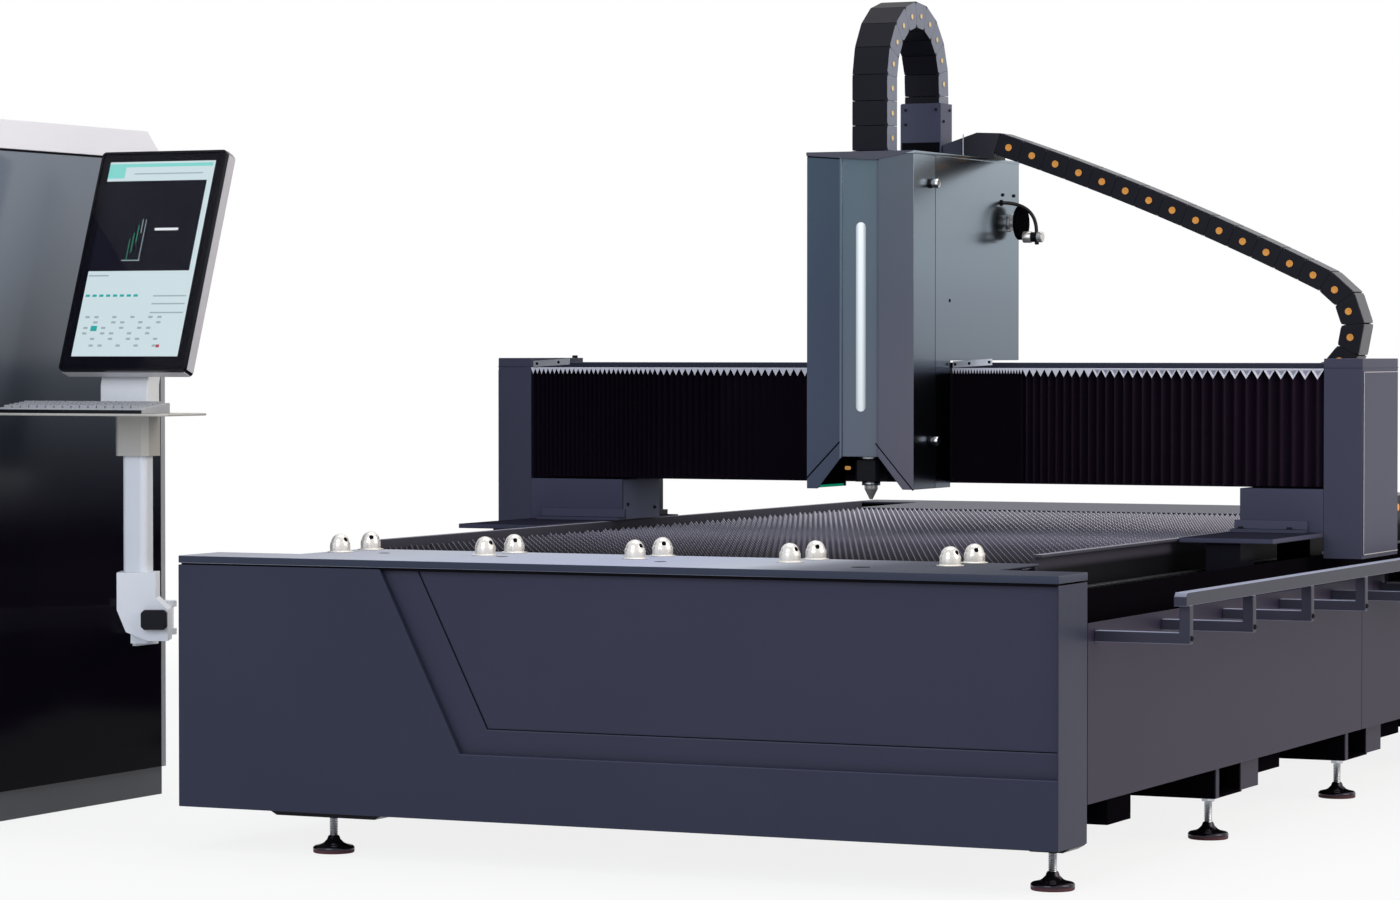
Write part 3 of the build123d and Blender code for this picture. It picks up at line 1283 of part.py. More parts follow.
def cabinet_units():
    """Laser source on the cabinet's floor, and the control plate with its drives."""
    x = (CABINET_BACK + SOURCE_INSET[0], FACE_X - SOURCE_INSET[1])
    y = (CABINET_Y[0] + UNIT_INSET, CABINET_Y[0] + UNIT_INSET + SOURCE_LENGTH)
    z = (CABINET_FLOOR, CABINET_FLOOR + SOURCE_HEIGHT)
    inside_z = (z[0], z[1] - CABINET_WALL)
    source = block(x, y, z) - block(shrink(x, CABINET_WALL), shrink(y, CABINET_WALL), inside_z)
    wall = FACE_X - SHEET - CABINET_WALL
    plate_z = (CABINET_FLOOR + CONTROL_PLATE_RISE, CABINET_TOP - CONTROL_PLATE_DROP)
    face = wall - CONTROL_PLATE
    plate = block((face, wall), shrink(CABINET_Y, UNIT_INSET), plate_z)
    drive_z = (CABINET_FLOOR + DRIVE_RISE, CABINET_FLOOR + DRIVE_RISE + DRIVE_SIZE[2])
    for i in range(DRIVE_COUNT):
        start = CABINET_Y[0] + DRIVE_FIRST + i * DRIVE_PITCH
        plate += block((face - DRIVE_SIZE[0], face), (start, start + DRIVE_SIZE[1]), drive_z)
    return [source, plate]


# Operator's arm and screen


def arm_bracket():
    """Wall bracket: plate, two cheeks and the arm's upright pivot pin."""
    plate_z = shrink(BRACKET_Z, -BRACKET_PLATE_OVER)
    bracket = block((FACE_X, FACE_X + BRACKET_PLATE), around(PIVOT[1], BRACKET_PLATE_WIDTH), plate_z)
    gap = shrink(BRACKET_Z, BRACKET_CHEEK)
    for z in ((BRACKET_Z[0], gap[0]), (gap[1], BRACKET_Z[1])):
        bracket += block((FACE_X + BRACKET_PLATE, PIVOT[0]), around(PIVOT[1], 2 * (PIVOT_R + PIVOT_BOSS)), z)
        bracket += post(PIVOT_R + PIVOT_BOSS, *PIVOT, z)
    return [bracket + post(PIVOT_R / 2, *PIVOT, gap)]


def arm_place():
    """Place of the arm's own frame: pivot at the origin, link along X."""
    angle = math.degrees(math.atan2(POST[1] - PIVOT[1], POST[0] - PIVOT[0]))
    return Pos(*PIVOT, 0) * Rot(0, 0, angle)


def arm_length():
    """Distance from the wall pivot to the post."""
    return math.hypot(POST[0] - PIVOT[0], POST[1] - PIVOT[1])


def elbow_half():
    """Half of the elbow's depth along the arm."""
    return POST_DEPTH / 2 + ELBOW_MARGIN + CLAMP_CORNER


def support_arm():
    """Link from the wall pivot to the elbow that carries the post."""
    length = arm_length()
    eye_z = shrink(BRACKET_Z, BRACKET_CHEEK + FIT_GAP)
    link_z = around(sum(BRACKET_Z) / 2, LINK_HEIGHT)
    side = POST_WIDTH / 2 + ELBOW_MARGIN
    lug = side + ELBOW_LUG
    lug_top = ELBOW_BOTTOM + ELBOW_LUG_HEIGHT
    elbow = [
        (-side, POST_Z[0]),
        (-side, ELBOW_BOTTOM + ELBOW_CURVE),
        (-side + 0.29 * ELBOW_CURVE, ELBOW_BOTTOM + 0.29 * ELBOW_CURVE),
        (-side + ELBOW_CURVE, ELBOW_BOTTOM),
        (lug, ELBOW_BOTTOM),
        (lug, lug_top),
        (side, lug_top + ELBOW_LUG),
        (side, POST_Z[0]),
    ]
    arm = post(PIVOT_R, 0, 0, eye_z) + block((0, length), around(0, LINK_WIDTH), link_z)
    arm += along_x(elbow, around(length, 2 * elbow_half()))
    return [arm_place() * (arm - post(PIVOT_R / 2 + RUN_CLEAR, 0, 0, eye_z))]


def arm_clamp():
    """Black clamp on the elbow's front."""
    front = arm_length() + elbow_half() + RUN_CLEAR / 2
    lug = POST_WIDTH / 2 + ELBOW_MARGIN + ELBOW_LUG
    z = around(ELBOW_BOTTOM + CLAMP_RISE, CLAMP_SIZE[2])
    clamp = block((front, front + CLAMP_SIZE[0]), (lug - CLAMP_SIZE[1], lug), z)
    return [arm_place() * chamfer(clamp.edges().filter_by(Axis.X), CLAMP_CORNER)]


def arm_post():
    """Upright rounded tube with a bored cap for the swivel."""
    outer = RectangleRounded(POST_WIDTH, POST_DEPTH, POST_CORNER)
    inner = Rectangle(POST_WIDTH - 2 * POST_WALL, POST_DEPTH - 2 * POST_WALL)
    inner = chamfer(inner.vertices(), POST_CORNER - POST_WALL)
    height = POST_Z[1] - POST_Z[0]
    upright = extrude(outer, height) - extrude(inner, height - POST_CAP)
    upright -= post(SPIGOT_R + RUN_CLEAR, 0, 0, (height - POST_CAP, height))
    return [Pos(*POST, POST_Z[0]) * upright]


def swivel_block():
    """Swivel head that turns on the post by its spigot."""
    low = POST_Z[1] + FIT_GAP
    outline = chamfer(Rectangle(SWIVEL_WIDTH, SWIVEL_DEPTH).vertices(), SWIVEL_CORNER)
    head = Pos(0, 0, low) * extrude(outline, SWIVEL_TOP - low)
    return [Pos(*POST, 0) * (head + post(SPIGOT_R, 0, 0, (POST_Z[1] - POST_CAP, low)))]


def keyboard_shelf():
    """Thin shelf under the screen."""
    plate = block(SHELF_X, SHELF_Y, (SWIVEL_TOP, SHELF_TOP))
    return [Pos(*POST, 0) * chamfer(plate.edges().filter_by(Axis.Z), SHELF_CORNER)]


def keyboard():
    """Wedge-shaped keyboard."""
    outline = [
        (KEYBOARD_Y[0], SHELF_TOP), (KEYBOARD_Y[1], SHELF_TOP),
        (KEYBOARD_Y[1], SHELF_TOP + KEYBOARD_HEIGHT[1]), (KEYBOARD_Y[0], SHELF_TOP + KEYBOARD_HEIGHT[0]),
    ]
    return [Pos(*POST, 0) * along_x(outline, KEYBOARD_X)]


def tilt_axis():
    """Y and Z of the tilt hinge behind the monitor, from the post."""
    lean = math.radians(MONITOR_TILT)
    out = MONITOR_DEPTH + TILT_PIN_OUT
    y = -MONITOR_AHEAD + TILT_PIN_UP * math.sin(lean) + out * math.cos(lean)
    z = MONITOR_LOW_Z + TILT_PIN_UP * math.cos(lean) - out * math.sin(lean)
    return (y, z)


def monitor_neck():
    """Upright behind the screen, with a fork round the tilt hinge."""
    y, z = tilt_axis()
    front = -NECK_SET
    knee = SHELF_TOP + NECK_KNEE
    eye = TILT_PIN_R + TILT_EYE_WALL
    outline = [
        (front, SHELF_TOP), (front + NECK_DEPTH, SHELF_TOP), (front + NECK_DEPTH, knee),
        (y + FORK_REACH, z - FORK_REACH), (y + eye, z), (y + eye / 2, z + eye), (y - eye / 2, z + eye),
        (y - eye, z), (y - eye + 2, z - eye), (front, knee),
    ]
    neck = along_x(outline, around(0, NECK_WIDTH))
    neck -= block(around(0, NECK_FORK), around(y, 4 * FORK_REACH), around(z, 2 * FORK_REACH))
    neck -= pin_x(TILT_PIN_R + RUN_CLEAR, around(0, NECK_WIDTH), y, z)
    return [Pos(POST[0] + NECK_SHIFT, POST[1], 0) * neck]


def monitor_place():
    """Place of the monitor's lower front edge, leaning back."""
    return Pos(POST[0], POST[1] - MONITOR_AHEAD, MONITOR_LOW_Z) * Rot(-MONITOR_TILT, 0, 0)


def monitor_housing():
    """Monitor case with a pocket for its glass, and the tilt lug with its pin."""
    case = block(around(0, MONITOR_WIDTH), (0, MONITOR_DEPTH), (0, MONITOR_HEIGHT))
    case = fillet(case.edges().filter_by(Axis.Y), MONITOR_CORNER)
    pocket_x = around(0, MONITOR_WIDTH - 2 * MONITOR_RIM)
    case -= block(pocket_x, (0, GLASS_POCKET), shrink((0, MONITOR_HEIGHT), MONITOR_RIM))
    y, z = tilt_axis()
    lug = block(around(0, NECK_FORK - 2), (y - TILT_PIN_OUT - 2, y + TILT_PIN_R), around(z, 2 * TILT_PIN_R))
    lug += pin_x(TILT_PIN_R, around(0, NECK_WIDTH), y, z)
    return [monitor_place() * case + Pos(POST[0] + NECK_SHIFT, POST[1], 0) * lug]


def screen_glass():
    """Front glass of the monitor."""
    rim = MONITOR_RIM + FIT_GAP
    y = (GLASS_POCKET - GLASS_THICK - FIT_GAP, GLASS_POCKET - FIT_GAP)
    return [monitor_place() * block(around(0, MONITOR_WIDTH - 2 * rim), y, shrink((0, MONITOR_HEIGHT), rim))]


def footprint_middle():
    """X and Y middle of the whole installation."""
    x = (HINGE_X - DOOR_THICK / 2 - GRIP, SHELF_OUT)
    y = (min(CABINET_Y[0], 0), max(CABINET_Y[1], BED_LENGTH))
    return (sum(x) / 2, sum(y) / 2)


NODES = {
    "bed_frame": bed_frame(),
    "front_cover": front_cover(),
    "front_inset_panel": front_inset_panel(),
    "loading_plate": loading_plate(),
    "ball_cups": ball_cups(),
    "transfer_balls": transfer_balls(),
    "side_panels": side_panels(),
    "rear_cover": rear_cover(),
    "foot_pads": foot_pads(),
    "foot_stems": foot_stems(),
    "y_rails_and_racks": y_rails_and_racks(),
    "guide_guards": guide_guards(),
    "table_frame": table_frame(),
    "slats": slats(),
    "slag_trays": slag_trays(),
    "chain_shelf": chain_shelf(),
    "y_drag_chain": y_drag_chain(),
    "gantry_beam": gantry_beam(),
    "end_columns": end_columns(),
    "saddles": saddles(),
    "y_guide_blocks": y_guide_blocks(),
    "y_motors": y_motors(),
    "right_y_pinion": y_pinion(0),
    "left_y_pinion": y_pinion(1),
    "x_rails_and_rack": x_rails_and_rack(),
    "left_bellows": left_bellows(),
    "right_bellows": right_bellows(),
    "x_drag_chain": x_drag_chain(),
    "carriage_plate": carriage_plate(),
    "carriage_rails": carriage_rails(),
    "x_pinion": x_pinion(),
    "head_casing": head_casing(),
    "casing_front_cover": casing_front_cover(),
    "light_strip": light_strip(),
    "carriage_motors": carriage_motors(),
    "gas_valve": gas_valve(),
    "gas_hose": gas_hose(),
    "chain_brackets": chain_brackets(),
    "z_drag_chain": z_drag_chain(),
    "z_plate": z_plate(),
    "z_screw": z_screw(),
    "cutting_head": cutting_head(),
    "nozzle": nozzle(),
    "console_cabinet": console_cabinet(),
    "console_panel": console_panel(),
    "console_cap": console_cap(),
    "cabinet_hinges": cabinet_hinges(),
    "rear_door_near": [near_door()],
    "rear_door_far": [far_side(near_door())],
    "cabinet_units": cabinet_units(),
    "arm_bracket": arm_bracket(),
    "support_arm": support_arm(),
    "arm_clamp": arm_clamp(),
    "arm_post": arm_post(),
    "swivel_block": swivel_block(),
    "keyboard_shelf": keyboard_shelf(),
    "keyboard": keyboard(),
    "monitor_neck": monitor_neck(),
    "monitor_housing": monitor_housing(),
    "screen_glass": screen_glass(),
}

os.makedirs("parts", exist_ok=True)
middle_x, middle_y = footprint_middle()
for name, pieces in NODES.items():
    placed = []
    for piece in pieces:
        placed += (Pos(-middle_x, -middle_y, 0) * piece).solids()
    export_step(Compound(children=placed), f"parts/{name}.step")
    print(name, len(placed), "solids")
print("footprint middle", middle_x, middle_y)
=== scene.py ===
# %% [markdown]
# # Open-bed laser cutting machine: its looks
# The imported CAD model is the fixed frame of this scene. Here it gets its materials, and the
# forms that are too fine for the CAD, such as the links of the drag chains, the pleats of the
# bellows and the teeth of the slats, are made in mesh code round it. Most pieces are tied to the
# body that they move with, so that they follow when the machine is posed; the drag chains and the
# bellows are not.

# %% Load the frame
import math
import bmesh
import bpy
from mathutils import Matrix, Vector


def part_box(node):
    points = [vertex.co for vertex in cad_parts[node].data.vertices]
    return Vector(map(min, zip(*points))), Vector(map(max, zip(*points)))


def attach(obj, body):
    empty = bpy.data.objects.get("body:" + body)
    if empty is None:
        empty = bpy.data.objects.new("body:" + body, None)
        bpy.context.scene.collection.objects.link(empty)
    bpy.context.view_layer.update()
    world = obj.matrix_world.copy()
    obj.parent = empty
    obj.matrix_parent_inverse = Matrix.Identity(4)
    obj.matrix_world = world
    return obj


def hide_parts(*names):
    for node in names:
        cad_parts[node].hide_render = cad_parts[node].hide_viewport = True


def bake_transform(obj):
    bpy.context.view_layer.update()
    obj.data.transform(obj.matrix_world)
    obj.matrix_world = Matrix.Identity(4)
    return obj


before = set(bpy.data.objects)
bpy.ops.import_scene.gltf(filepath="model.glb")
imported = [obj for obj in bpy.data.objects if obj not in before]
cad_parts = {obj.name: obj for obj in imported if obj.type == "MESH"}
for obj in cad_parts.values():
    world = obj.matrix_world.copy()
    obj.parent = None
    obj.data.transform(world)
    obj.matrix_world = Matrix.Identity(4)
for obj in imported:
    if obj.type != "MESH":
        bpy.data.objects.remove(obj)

scene = bpy.context.scene
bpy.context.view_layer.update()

# %% [markdown]
# The CAD is drawn in millimetres from the middle of the bed's front edge. Small helpers turn
# such a place into the frame's metres and back. Places could be typed in metres instead, but
# millimetres off the bed are what a maker would measure.

# %% Places
corner_low, corner_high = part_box("loading_plate")
BED_X = (corner_low.x + corner_high.x) / 2
BED_Y = corner_low.y


def at(x, y, z):
    """Metres in the frame, from millimetres off the bed's front centre."""
    return Vector((BED_X + x / 1000, BED_Y + y / 1000, z / 1000))


def off_bed(place):
    """Millimetres off the bed's front centre, from metres in the frame."""
    return Vector(((place.x - BED_X) * 1000, (place.y - BED_Y) * 1000, place.z * 1000))


def span(node):
    """A node's lowest and highest corner."""
    return [off_bed(corner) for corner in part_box(node)]


print("bed centre line x", round(BED_X, 4), "front y", round(BED_Y, 4))

# %% [markdown]
# Many nodes are rows of equal solids, such as feet, ball units or slats. Their places could be
# written down here once more, but then they could drift from the CAD. So the solids of a node
# are told apart by walking over the edges of its mesh, and each gives its own box.

# %% Solids of a node
def solids(node):
    """Lowest and highest corner of each separate solid of a node, from the front backwards."""
    bm = bmesh.new()
    bm.from_mesh(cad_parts[node].data)
    bmesh.ops.remove_doubles(bm, verts=bm.verts, dist=1e-5)
    left = set(bm.verts)
    found = []
    while left:
        stack = [left.pop()]
        group = []
        while stack:
            vert = stack.pop()
            group.append(vert.co.copy())
            for edge in vert.link_edges:
                other = edge.other_vert(vert)
                if other in left:
                    left.remove(other)
                    stack.append(other)
        corners = [Vector([pick(c[i] for c in group) for i in range(3)]) for pick in (min, max)]
        found.append([off_bed(corner) for corner in corners])
    bm.free()
    return sorted(found, key=lambda box: (round(box[0].y), round(box[0].x), box[0].z))


def middle(box):
    """Centre of a box given by two corners."""
    return (box[0] + box[1]) / 2


print("the bed stands on", len(solids("foot_pads")), "feet")

# %% [markdown]
# The camera stands right of the bed's corner and a little above the gantry. A near camera with
# a short lens would bend the long bed apart, so it stands far off with a long lens: the upright
# lines stay upright and the bed runs back only gently.

# %% Camera
LENS, SENSOR, FARTHEST = 111.05, 36, 200
CAMERA_PLACE = (4423.6, -8844.4, 1196)
CAMERA_DIP, CAMERA_TURN = 1.316, 25.206
camera = bpy.data.objects.new("camera", bpy.data.cameras.new("camera"))
scene.collection.objects.link(camera)
camera.data.lens = LENS
camera.data.sensor_width = SENSOR
camera.data.clip_end = FARTHEST
camera.location = at(*CAMERA_PLACE)
camera.rotation_euler = (math.radians(90 - CAMERA_DIP), 0, math.radians(CAMERA_TURN))
scene.camera = camera
print("camera at", [round(x, 3) for x in camera.location])

# %% [markdown]
# The gas hose is the one free cord. A mesh tube would do, but a curve keeps its length exact.
# Its centreline is a spline whose control points are the corners of the CAD's route: out of the
# casing's side, over to the valve's front, and down into its outlet. The spline's points carry
# the hose's radius.

# %% Gas hose
HOSE_R, HOSE_AHEAD, HOSE_REACH, HOSE_RISE, RUN_CLEAR = 5, 65, 78, 54, 0.05
DISC_R, OUTLET_R, OUTLET_DROP = 46, 13, 39
valve_low, valve_high = span("gas_valve")
side_x = valve_low.x
valve_y = (valve_low.y + valve_high.y) / 2
valve_z = valve_high.z - DISC_R
hose_clear = HOSE_R * HOSE_AHEAD / math.hypot(HOSE_AHEAD, HOSE_REACH) + RUN_CLEAR
hose_route = [
    (side_x + hose_clear, valve_y - HOSE_AHEAD, valve_z + HOSE_RISE),
    (side_x + HOSE_REACH, valve_y, valve_z + HOSE_RISE),
    (side_x + HOSE_REACH, valve_y, valve_z - OUTLET_DROP + OUTLET_R),
]
hose_curve = bpy.data.curves.new("gas_hose_line", "CURVE")
hose_curve.dimensions = "3D"
hose_curve.bevel_depth = 1.0
hose_curve.bevel_resolution = 4
hose_curve.resolution_u = 24
hose_curve.use_fill_caps = True
hose_spline = hose_curve.splines.new("NURBS")
hose_spline.points.add(len(hose_route) - 1)
for point, place in zip(hose_spline.points, hose_route):
    point.co = (*at(*place), 1)
    point.radius = HOSE_R / 1000
hose_spline.order_u = 3
hose_spline.use_endpoint_u = True
hose = bpy.data.objects.new("gas_hose_line", hose_curve)
scene.collection.objects.link(hose)
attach(hose, "carriage")
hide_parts("gas_hose")

# %% [markdown]
# ## Materials
# Paint, metal and cloth differ in colour, gloss and grain, and shader nodes set all three. They
# could be wired by hand in the editor, but a script can be read and run again. Colours are
# written as sRGB hex and turned into the linear values that the sockets take, and one function
# adds a node with its settings, constants and links.

# %% Node helpers
def hexa(code):
    """sRGB hex as linear colour for a socket."""
    parts = [int(code[i:i + 2], 16) / 255 for i in (1, 3, 5)]
    linear = [c / 12.92 if c <= 0.04045 else ((c + 0.055) / 1.055) ** 2.4 for c in parts]
    return (*linear, 1.0)


def wire(tree, node, inputs):
    """Set a node's inputs: sockets are linked, other values are constants."""
    for name, value in inputs.items():
        if isinstance(value, bpy.types.NodeSocket):
            tree.links.new(value, node.inputs[name])
        else:
            node.inputs[name].default_value = value
    return node


def add(tree, kind, inputs, **settings):
    """One shader node with its settings and inputs."""
    node = tree.nodes.new("ShaderNode" + kind)
    for name, value in settings.items():
        setattr(node, name, value)
    return wire(tree, node, inputs)


def shader_of(name):
    """A new material's tree, its main shader and the place of a point in metres."""
    material = bpy.data.materials.new(name)
    material.use_nodes = True
    tree = material.node_tree
    place = add(tree, "TexCoord", {}).outputs["Object"]
    return material, tree, tree.nodes["Principled BSDF"], place


print("a mid grey of #808080 is", round(hexa("#808080")[0], 3), "in linear light")

# %% [markdown]
# Wear, and light and shade painted into the colour, change a part's tone along its length. A painted
# image could show that, but a ramp in the bed's own millimetres stays sharp and needs no file. Faces that
# look along an axis, such as tops with a painted highlight, are told from the others by their normal.

# %% Ramps and facing
def ramp(tree, place, axis, stops):
    """Colour that blends between (mm, hex) stops along axis 0, 1 or 2."""
    first, last = stops[0][0], stops[-1][0]
    value = add(tree, "SeparateXYZ", {"Vector": place}).outputs[axis]
    ends = {"From Min": at(first, first, first)[axis], "From Max": at(last, last, last)[axis]}
    share = add(tree, "MapRange", {"Value": value, **ends})
    blend = add(tree, "ValToRGB", {"Fac": share.outputs[0]})
    elements = blend.color_ramp.elements
    elements[0].color = hexa(stops[0][1])
    elements[1].color = hexa(stops[-1][1])
    for mm, code in stops[1:-1]:
        elements.new((mm - first) / (last - first)).color = hexa(code)
    return blend.outputs[0]


def tone(tree, place, colour):
    """A colour given as hex, or as (axis, stops) for a ramp."""
    return hexa(colour) if isinstance(colour, str) else ramp(tree, place, *colour)


def facing(tree, axis, low=0.5, high=0.8):
    """1 where a face looks along an axis, 0 where it does not."""
    normal = add(tree, "NewGeometry", {}).outputs["Normal"]
    part = add(tree, "SeparateXYZ", {"Vector": normal}).outputs[axis]
    part = add(tree, "Math", {0: part}, operation="ABSOLUTE").outputs[0]
    return add(tree, "MapRange", {"Value": part, "From Min": low, "From Max": high}).outputs[0]


print("helpers: ramp, tone, facing")

# %% [markdown]
# No real surface is one colour. A photograph of each finish could be laid over the parts, but a
# procedural build is light and fits any size. So most finishes here share one: a slow drift
# between two near colours, and a fine grain that moves both gloss and surface. Real grit and
# orange peel are often finer than a pixel, so grains are drawn coarser than life, at 0.6 to 4 mm.

# %% The shared finish
def finish(name, colour, other, rough, patch=400, grain=2.0, bump=0.1, stretch=(1, 1, 1),
           shine=0.5, metal=0.0, drifts=1.0, faces=None, shade=None):
    """Two colours that drift into each other over patch mm, with a grain of some mm.

    faces is (axis, colour, metal) for the faces that look along an axis, and shade is a ramp
    that the colour is multiplied by.
    """
    material, tree, shader, spot = shader_of(name)
    place = add(tree, "Mapping", {"Vector": spot, "Scale": stretch}).outputs[0]
    drift = add(tree, "TexNoise", {"Vector": place, "Scale": 1000 / patch, "Detail": 2.0})
    drift = add(tree, "MapRange", {"Value": drift.outputs[0], "To Max": drifts})
    mix = {0: drift.outputs[0], 6: tone(tree, spot, colour), 7: hexa(other)}
    tint = add(tree, "Mix", mix, data_type="RGBA")
    if shade:
        mix = {0: 1.0, 6: tint.outputs[2], 7: ramp(tree, spot, *shade)}
        tint = add(tree, "Mix", mix, data_type="RGBA", blend_type="MULTIPLY")
    if faces:
        axis, face_colour, face_metal = faces
        look = facing(tree, axis)
        mix = {0: look, 6: tint.outputs[2], 7: tone(tree, spot, face_colour)}
        tint = add(tree, "Mix", mix, data_type="RGBA")
        level = {"Value": look, "To Min": shine, "To Max": 0.0}
        shine = add(tree, "MapRange", level).outputs[0]
        level = {"Value": look, "To Min": metal, "To Max": face_metal}
        metal = add(tree, "MapRange", level).outputs[0]
    fine = add(tree, "TexNoise", {"Vector": place, "Scale": 1000 / grain, "Detail": 3.0})
    level = {"Value": fine.outputs[0], "To Min": rough[0], "To Max": rough[1]}
    gloss = add(tree, "MapRange", level)
    relief = {"Height": fine.outputs[0], "Strength": bump, "Distance": grain / 4000}
    surface = add(tree, "Bump", relief)
    wire(tree, shader, {
        "Base Color": tint.outputs[2], "Roughness": gloss.outputs[0], "Normal": surface.outputs[0],
        "Metallic": metal, "Specular IOR Level": shine,
    })
    print("mixed", name)
    return material


# %% [markdown]
# Nearly all of the machine is sheet steel under slate powder coat, which is sprayed on dry and
# baked. One paint could serve for every part, but wear, and light and shade painted into the
# colours, give each its own tone, so each part has its own pair of colours on the same build.

# %% Paints of the bed
POWDER = {"rough": (0.4, 0.52), "grain": 2.5, "bump": 0.12, "shine": 0.12}
# Slate powder coat: dull blue-grey with a slight orange-peel skin
slate = finish("slate powder coat", "#2F3243", "#353848", **POWDER)
# Side skins: the coat painted browner, as the warm light tints it
side_slate = finish("side skin powder coat", "#2B2637", "#302B3D", (0.42, 0.55), grain=2.5,
                    bump=0.12, shine=0.12)
# Inset panel: the same coat, smoother
inset = finish("inset panel paint", "#333546", "#38394B", (0.36, 0.46), bump=0.06, shine=0.12)
# Loading plate: slate edges, and a top with a painted reflection of the room, pale on the left and darker
# to the right
PLATE_REFLECTION_TONES = (0, [(-1125, "#B4B5BC"), (-600, "#C0C4CF"), (0, "#B6BBD0"), (330, "#BCC2CC"),
                   (480, "#83868F"), (620, "#63656E"), (1125, "#4A4C57")])
plate_coat = finish("loading plate paint", "#343949", "#393E4E", (0.3, 0.4), patch=160, grain=3,
                    bump=0.03, shine=0.12, faces=(2, PLATE_REFLECTION_TONES, 0.0))
# Rail and brackets of the chain shelf: slate, with tops painted pale as a highlight
shelf_slate = finish("shelf powder coat", "#333340", "#383845", (0.36, 0.48), grain=2.5, bump=0.1,
                     shine=0.12, faces=(2, "#9CA0B4", 0.0))
# Table channels: grey paint with a painted highlight along the top edge and painted shade, near black,
# lower down
TABLE_SHADE_TONES = (2, [(430, "#060508"), (684, "#09080C"), (696, "#403E4A"), (725, "#4B4A55")])
table_grey = finish("grey table paint", TABLE_SHADE_TONES, "#2C2B34", (0.4, 0.55), patch=120, grain=3,
                    bump=0.15, shine=0.06, drifts=0.15, faces=(2, "#8F8E98", 0.0))
# Flat black paint on the guards and the valve's disc; on the bed's frame, the guide blocks, the boxes
# behind the beam ends and the casing's inside it is painted shade
black_paint_and_shade = finish("black paint and painted shade", "#0A080C", "#0F0D12", (0.55, 0.7), bump=0.1, shine=0.0)

# %% [markdown]
# The gantry has the bed's coat in a lighter tone. Its saddles dip between the guards, where shade
# blackens them, and that shade is painted on. That could be a second material with an edge to
# match, but a ramp over their height does it in one.

# %% Paints of the gantry
# Gantry coat: the same slate, a little lighter
gantry_slate = finish("gantry powder coat", "#404254", "#454759", **POWDER)
# Saddles: gantry coat above the bed's level, painted shade, near black, where they dip between the
# guards, and level faces darker
SADDLE_SHADE_TONES = (2, [(640, "#07060A"), (714, "#09080D"), (719, "#484A5D"), (840, "#4E5063")])
saddle_slate = finish("saddle powder coat", SADDLE_SHADE_TONES, "#34364A", (0.4, 0.52), bump=0.12,
                      shine=0.06, drifts=0.2, faces=(2, "#262733", 0.0))
# Side plate of the left saddle: a paler slate, painted light that lifts the beam's shadow on that face
painted_light_slate = finish("slate coat with painted light", "#747A94", "#7A809A", (0.4, 0.52), grain=2.5,
                     bump=0.1, shine=0.12)
# Brackets: slate for the arch chain, near black for the cross chain
BRACKET_TONES = (0, [(-170, "#484C61"), (-46, "#484C61"), (-43, "#3F4352"), (12, "#333644"),
                     (16, "#16161F"), (130, "#16161F")])
bracket_coat = finish("bracket paint", BRACKET_TONES, "#2A2C38", (0.36, 0.45), bump=0.08,
                      shine=0.2, drifts=0.2)

# %% [markdown]
# The casing has a satin lacquer with metal in it. Its flanks mirror the bright room above and
# the dark bellows below. Painted alone that would not change with the view, so the flanks are
# metallic and really mirror the scene, and a painted reflection in their colour makes them paler
# towards the top as well. The front cover is duller, and a ramp over its width gives each of its
# three folded strips a tone, partly painted shade and light: darker on the left strip, lighter on
# the middle one.

# %% Lacquers of the casing
# Casing: satin metal lacquer, with a painted reflection that makes it paler towards the top
SATIN_REFLECTION_TONES = (2, [(1143, "#525C6A"), (1224, "#5A6775"), (1318, "#636F7E"), (1425, "#6D7D8A"),
                   (1600, "#7A8894"), (1716, "#8B98A3")])
satin = finish("satin casing lacquer", SATIN_REFLECTION_TONES, "#6D7A86", (0.17, 0.21), patch=600, grain=1.2,
               bump=0.01, metal=1.0, drifts=0.15)
# Cover of the casing: its three folded strips differ in tone, partly by painted shade and light,
# with the left strip darker and the middle one lighter, and lose their green towards the bottom;
# its sides are satin metal with the casing's painted reflection
COVER_STRIP_LIGHT_TONES = (0, [(-187, "#4E596D"), (-92.5, "#4B5467"), (-91.5, "#747E8C"), (10, "#767E8A"),
                   (11, "#6C6C7B"), (119, "#706E7B")])
COVER_SHADE = (2, [(832, "#FFFFFF"), (961, "#FFFFFF"), (1324, "#E7F1F1"), (1634, "#E3F7F0"),
                   (1712, "#E3F7F0")])
cover = finish("casing cover lacquer", COVER_STRIP_LIGHT_TONES, "#686C7B", (0.22, 0.28), patch=500, grain=1.5,
               bump=0.03, shine=0.12, drifts=0.15, faces=(0, SATIN_REFLECTION_TONES, 1.0), shade=COVER_SHADE)
# Lid flange: the cover's lacquer, a little more purple
lid_coat = finish("casing lid lacquer", "#474956", "#4C4D5A", (0.36, 0.45), patch=200, bump=0.05,
                  shine=0.3)

# %% [markdown]
# The cabinet is textured sheet, and the console's arm, shelf and cap are smooth coats and moulded
# plastic in greys and whites. They could each have their own build, but they are quiet surfaces
# and differ only in colour and grain, so the shared finish serves them all.

# %% Coats of cabinet and console
# Cabinet sheet: mid grey textured coat
cabinet_grey = finish("grey textured coat", "#55555A", "#5C5C60", (0.5, 0.62), grain=1.8, bump=0.2)
# Cap: light grey, nearly white, smooth coat
cap_grey = finish("pale grey coat", "#E5E4E9", "#E8E7EB", (0.35, 0.45), bump=0.05, shine=0.3)
# Arm: off-white satin coat
arm_white = finish("off-white coat", "#E2E7EE", "#E6EAF0", (0.34, 0.44), bump=0.05, shine=0.4)
